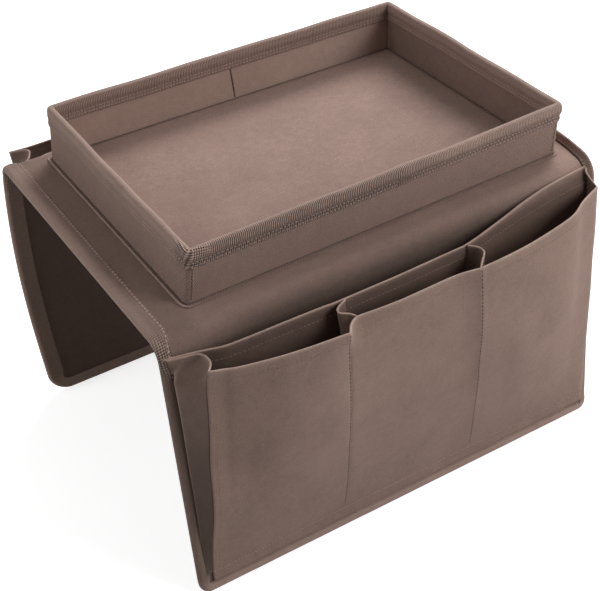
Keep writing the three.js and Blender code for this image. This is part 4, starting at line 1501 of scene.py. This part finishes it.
# A math node on sockets and numbers, made in the tree of its first socket
def mathNode(operation, *values):
    tree = next(value for value in values if isinstance(value, bpy.types.NodeSocket)).id_data
    return newNode(tree, "Math", dict(enumerate(values)), operation=operation).outputs[0]


# Sum and product of two sockets, or of a socket and a number
def add(first, second):
    return mathNode("ADD", first, second)


def times(first, second):
    return mathNode("MULTIPLY", first, second)


# pitch of each weave's rows in metres, the direction of slanting rows on the cloth's map, and how
# much of the height comes from the rows where the threads or a grain add the rest
weave = {
    "twill": 0.0015,
    "twillTurn": (0.78, 0.62),
    "twillShare": 0.6,
    "threads": 0.0006,
    "ribs": 0.0013,
    "ribShare": 0.85,
    "ribGrain": 0.0005,
    "beads": 0.0022,
    "beadTurn": (0.8, 0.6),
}


# A sine wave along a direction of the cloth's own map
def waveAlong(u, v, pitch, turnU, turnV):
    turns = 2 * np.pi / pitch
    return mathNode("SINE", add(times(u, turns * turnU), times(v, turns * turnV)))


# Twill: diagonal ridges with the single threads crossing them
def twillHeight(u, v):
    diagonal = waveAlong(u, v, weave["twill"], *weave["twillTurn"])
    threads = times(waveAlong(u, v, weave["threads"], 1, 0), waveAlong(u, v, weave["threads"], 0, 1))
    return add(times(diagonal, weave["twillShare"]), times(threads, 1 - weave["twillShare"]))


# Grosgrain: ribs across the tape, with a fine grain along them
def ribHeight(u, v):
    rows, grain = waveAlong(u, v, weave["ribs"], 1, 0), waveAlong(u, v, weave["ribGrain"], 0, 1)
    return add(times(rows, weave["ribShare"]), times(grain, 1 - weave["ribShare"]))


# Coarse weave of the tape where it is bunched: round beads set in rows that lie across each other
def beadHeight(u, v):
    pitch, (turnU, turnV) = weave["beads"], weave["beadTurn"]
    return times(waveAlong(u, v, pitch, turnU, turnV), waveAlong(u, v, pitch, -turnV, turnU))


# An empty node group with its inputs and outputs
def newGroup(name, inputs, outputs):
    tree = bpy.data.node_groups.new(name, "ShaderNodeTree")
    for label, kind in inputs:
        tree.interface.new_socket(label, in_out="INPUT", socket_type=kind)
    for label in outputs:
        tree.interface.new_socket(label, in_out="OUTPUT", socket_type="NodeSocketFloat")
    return tree, tree.nodes.new("NodeGroupInput").outputs, tree.nodes.new("NodeGroupOutput").inputs


# A group that gives the height of a weave from the cloth's own map
def weaveGroup(name, heightOf):
    tree, given, out = newGroup(name, [("Vector", "NodeSocketVector")], ["Height"])
    parts = newNode(tree, "SeparateXYZ", {"Vector": given["Vector"]}).outputs
    link(heightOf(parts["X"], parts["Y"]), out["Height"])
    return tree


# scale and detail of each noise of the cloudy tone, and how much each and their sum count
toneNoises = {"wide": (28, 3), "middle": (160, 2), "fine": (900, 2)}
toneWeights = {"middle": 0.7, "fine": 1.5, "sum": 2}


# Cloudy tone of worn, brushed cloth: two noises, and a fine fibre grain
def toneGroup():
    inputs = [("Vector", "NodeSocketVector"), ("Amount", "NodeSocketFloat")]
    tree, given, out = newGroup("clothTone", inputs, ["Tone", "Grain"])
    noises = {}
    for size, (scale, detail) in toneNoises.items():
        noise = newNode(tree, "TexNoise", {"Vector": given["Vector"], "Scale": scale, "Detail": detail})
        noises[size] = mathNode("SUBTRACT", noise.outputs["Fac"], 0.5)
    cloudy = add(noises["wide"], times(noises["middle"], toneWeights["middle"]))
    cloudy = add(cloudy, times(noises["fine"], toneWeights["fine"]))
    cloudy = times(cloudy, toneWeights["sum"])
    link(add(times(cloudy, given["Amount"]), 1), out["Tone"])
    link(noises["fine"], out["Grain"])
    return tree


twill, ribs = weaveGroup("twillWeave", twillHeight), weaveGroup("grosgrainRibs", ribHeight)
beads, tone = weaveGroup("beadWeave", beadHeight), toneGroup()

# colour, the lighter colour that edgeMark mixes in for lighter tones and painted
# highlights, weave, relief and contrast of the weave, and how strongly the tone varies. A finish names
# only what differs from plain cloth
plainCloth = {"light": (0.38, 0.27, 0.225), "weave": twill, "relief": 0.10, "contrast": 0.045,
              "rough": 0.84, "sheen": 0.08, "amount": 0.16}
finishes = {
    "pocketCloth": {"colour": (0.25, 0.168, 0.137)},
    # darker copies of the pocket cloth, painted shade inside the pockets: the sleeve and the folded walls
    "sleeveClothShaded": {"colour": (0.135, 0.088, 0.072), "sheen": 0.06},
    "foldClothShaded": {"colour": (0.17, 0.114, 0.093), "relief": 0.12, "contrast": 0.05, "sheen": 0.06},
    "panelCloth": {"colour": (0.27, 0.182, 0.149), "relief": 0.16, "contrast": 0.07, "rough": 0.82},
    "coverCloth": {"colour": (0.27, 0.182, 0.149), "relief": 0.34, "contrast": 0.24, "rough": 0.82,
                   "amount": 0.14},
    "trayFloor": {"colour": (0.275, 0.184, 0.154), "contrast": 0.02, "rough": 0.88, "amount": 0.2},
    "trayWall": {"colour": (0.30, 0.202, 0.166), "relief": 0.14, "contrast": 0.06, "rough": 0.86,
                 "sheen": 0.06, "amount": 0.14},
    "liningCloth": {"colour": (0.13, 0.085, 0.069), "light": (0.5, 0.4, 0.36), "relief": 0.18,
                    "contrast": 0.12, "rough": 0.86, "sheen": 0.04, "amount": 0.14},
    "bindingTape": {"colour": (0.26, 0.176, 0.144), "light": (0.42, 0.30, 0.25), "weave": ribs,
                    "relief": 0.6, "contrast": 0.6, "rough": 0.78, "amount": 0.12},
    "thread": {"colour": (0.09, 0.064, 0.053), "light": (0.44, 0.315, 0.262), "weave": None,
               "rough": 0.7, "sheen": 0.2, "amount": 0.1},
    "cardboard": {"colour": (0.42, 0.33, 0.22), "light": (0.5, 0.4, 0.3), "weave": None,
                  "rough": 0.9, "sheen": 0.0, "amount": 0.2},
}
surface = {
    "sheenRoughness": 0.45,
    "specular": 0.18,
    "bumpDistance": 0.0003,
    "bumpStrength": 2,
    "beads": 1.6,  # height of the beads, and of the grain, against the weave's
    "grain": 1.2,
}


# A point attribute
def marked(tree, mark):
    return newNode(tree, "Attribute", attribute_name=mark).outputs["Fac"]


# One minus a point attribute
def unmarked(tree, mark):
    return mathNode("SUBTRACT", 1.0, marked(tree, mark))


# Height of the weave, faded where the cloth is worn. Bunched tape has beads instead of ribs
def weaveHeight(tree, group):
    clothMap = newNode(tree, "UVMap", uv_map="cloth").outputs["UV"]
    height = newNode(tree, "Group", node_tree=group)
    link(clothMap, height.inputs["Vector"])
    height = times(height.outputs["Height"], unmarked(tree, "worn"))
    if group is not ribs:
        return height
    beaded = newNode(tree, "Group", node_tree=beads)
    link(clothMap, beaded.inputs["Vector"])
    beaded = times(times(marked(tree, "coarse"), beaded.outputs["Height"]), surface["beads"])
    return add(times(height, unmarked(tree, "coarse")), beaded)


# Cloth: its colour is mixed with a lighter one by edgeMark, for a lighter tone and for
# painted highlights, and scaled by the cloudy tone, the weave's contrast and one minus shade,
# the painted shade, and the weave and grain are its bump
def makeFinish(name, values):
    material = bpy.data.materials.new(name)
    material.use_nodes = True
    tree = material.node_tree
    shader = tree.nodes["Principled BSDF"].inputs
    shader["Roughness"].default_value = values["rough"]
    shader["Sheen Weight"].default_value = values["sheen"]
    shader["Sheen Roughness"].default_value = surface["sheenRoughness"]
    shader["Specular IOR Level"].default_value = surface["specular"]
    clouds = newNode(tree, "Group", node_tree=tone)
    clouds.inputs["Amount"].default_value = values["amount"]
    link(newNode(tree, "TexCoord").outputs["Object"], clouds.inputs["Vector"])
    brightness = clouds.outputs["Tone"]
    if values["weave"] is not None:
        height = weaveHeight(tree, values["weave"])
        relief = add(height, times(clouds.outputs["Grain"], surface["grain"]))
        strength = values["relief"] * surface["bumpStrength"]
        bump = {"Strength": strength, "Distance": surface["bumpDistance"], "Height": relief}
        link(newNode(tree, "Bump", bump).outputs["Normal"], shader["Normal"])
        brightness = times(brightness, add(times(height, values["contrast"]), 1))
        # painted shade darkens the cloth here
        brightness = times(brightness, unmarked(tree, "shade"))
    colours = {"A": (*values["colour"], 1), "B": (*values["light"], 1), "Factor": marked(tree, "edgeMark")}
    mixed = newNode(tree, "Mix", colours, data_type="RGBA").outputs["Result"]
    scaled = newNode(tree, "VectorMath", {0: mixed, "Scale": brightness}, operation="SCALE")
    link(scaled.outputs[0], shader["Base Color"])
    return material


# Which finish a piece takes, by words in its name
finishOf = {
    "saddle_cover": "panelCloth", "saddle_lining": "liningCloth", "stiffener": "cardboard",
    "binding": "bindingTape", "rim_tape": "bindingTape", "cover_cloth": "coverCloth",
    "wall_cloth": "trayWall", "floor_cloth": "trayFloor", "sleeve": "sleeveClothShaded",
    "front": "pocketCloth", "gusset": "foldClothShaded", "divider": "foldClothShaded", "stitching": "thread",
}
materials = {name: makeFinish(name, {**plainCloth, **own}) for name, own in finishes.items()}
for name, piece in pieces.items():
    finish = next(finish for words, finish in finishOf.items() if words in name)
    piece.data.materials.append(materials[finish])
print("materials made")

# Camera, floor and light

cameraPlace = {
    "position": (-409.7, -696.7, 716.7),
    "target": (-29.83, -55.09, 136.4),
    "rollDegrees": -2.36,
    "lens": 83.27,
    "sensorWidth": 36,
    "clipEnd": 20,
}
studio = {
    "lampTarget": (0, 0, 0.15),
    "worldLight": 0.02,
    "floorHalf": 3.0,
    "floorGrey": 0.65,
    "floorRough": 0.9,
    "floorGlow": 0.78,
}
# position, size and power of each lamp, in metres and watts
lamps = {
    "topLamp": ((0.1, 0.1, 1.5), (1.2, 1.2), 4.0),
    "leftTopLamp": ((-1.2, 0.2, 1.1), (0.7, 0.7), 4.5),
    "lowLeftLamp": ((-1.6, 0.3, 0.38), (0.7, 0.3), 5.0),
    "frontRightLamp": ((0.9, -1.2, 1.0), (0.8, 0.8), 16.5),
    "backRightLamp": ((0.9, 0.9, 1.2), (0.6, 0.6), 18.0),
    "lowRightLamp": ((1.4, -1.1, 0.25), (0.7, 0.4), 5.0),
    "sideLamp": ((1.1, 0.5, 0.9), (0.3, 0.3), 7.0),
}


# Matrix of an object at a position that looks at a target
def lookingAt(position, target):
    turn = (target - position).to_track_quat("-Z", "Y").to_matrix().to_4x4()
    return Matrix.Translation(position) @ turn


# Camera at a point looking at another, then rolled about its own line of sight
def placeCamera():
    camera = bpy.data.objects.new("camera", bpy.data.cameras.new("camera"))
    bpy.context.scene.collection.objects.link(camera)
    camera.data.lens = cameraPlace["lens"]
    camera.data.sensor_width = cameraPlace["sensorWidth"]
    camera.data.sensor_fit = "HORIZONTAL"
    camera.data.clip_end = cameraPlace["clipEnd"]
    shift = Vector((flapsMiddleX, 0, 0))
    position = (Vector(cameraPlace["position"]) + shift) * mm
    target = (Vector(cameraPlace["target"]) + shift) * mm
    roll = Matrix.Rotation(np.radians(cameraPlace["rollDegrees"]), 4, "Z")
    camera.matrix_world = lookingAt(position, target) @ roll
    bpy.context.scene.camera = camera


# A rectangular lamp that looks at the object
def addLamp(name, position, size, power):
    lamp = bpy.data.lights.new(name, "AREA")
    lamp.shape = "RECTANGLE"
    lamp.size, lamp.size_y = size
    lamp.energy = power
    item = bpy.data.objects.new(name, lamp)
    item.matrix_world = lookingAt(Vector(position), Vector(studio["lampTarget"]))
    bpy.context.scene.collection.objects.link(item)


# 1 for the kinds of ray that are named, and 0 for light that falls on the object
def seenBy(tree, *rays):
    path = newNode(tree, "LightPath")
    seen = path.outputs[rays[0]]
    for ray in rays[1:]:
        seen = mathNode("MAXIMUM", seen, path.outputs[ray])
    return seen


# World that looks white and gives the object hardly any light
def makeWorld():
    world = bpy.data.worlds.new("studio")
    bpy.context.scene.world = world
    world.use_nodes = True
    background = world.node_tree.nodes["Background"].inputs
    background["Color"].default_value = (1, 1, 1, 1)
    seen = seenBy(world.node_tree, "Is Camera Ray", "Is Glossy Ray", "Is Transmission Ray")
    light = studio["worldLight"]
    link(add(times(seen, 1 - light), light), background["Strength"])


# Floor of grey that glows to white where it is seen, so that only the shadow stays on it
def makeFloor():
    half, grey = studio["floorHalf"], studio["floorGrey"]
    mesh = bpy.data.meshes.new("studio_floor")
    corners = [(-half, -half, 0), (half, -half, 0), (half, half, 0), (-half, half, 0)]
    mesh.from_pydata(corners, [], [(0, 1, 2, 3)])
    floor = bpy.data.objects.new("studio_floor", mesh)
    bpy.context.scene.collection.objects.link(floor)
    material = bpy.data.materials.new("floorWhite")
    material.use_nodes = True
    shader = material.node_tree.nodes["Principled BSDF"].inputs
    shader["Base Color"].default_value = (grey, grey, grey, 1)
    shader["Roughness"].default_value = studio["floorRough"]
    shader["Emission Color"].default_value = (1, 1, 1, 1)
    seen = seenBy(material.node_tree, "Is Camera Ray", "Is Glossy Ray")
    link(times(seen, studio["floorGlow"]), shader["Emission Strength"])
    floor.data.materials.append(material)


placeCamera()
for name, values in lamps.items():
    addLamp(name, *values)
makeWorld()
makeFloor()
bpy.context.scene.view_settings.view_transform = "Standard"
print("studio made")
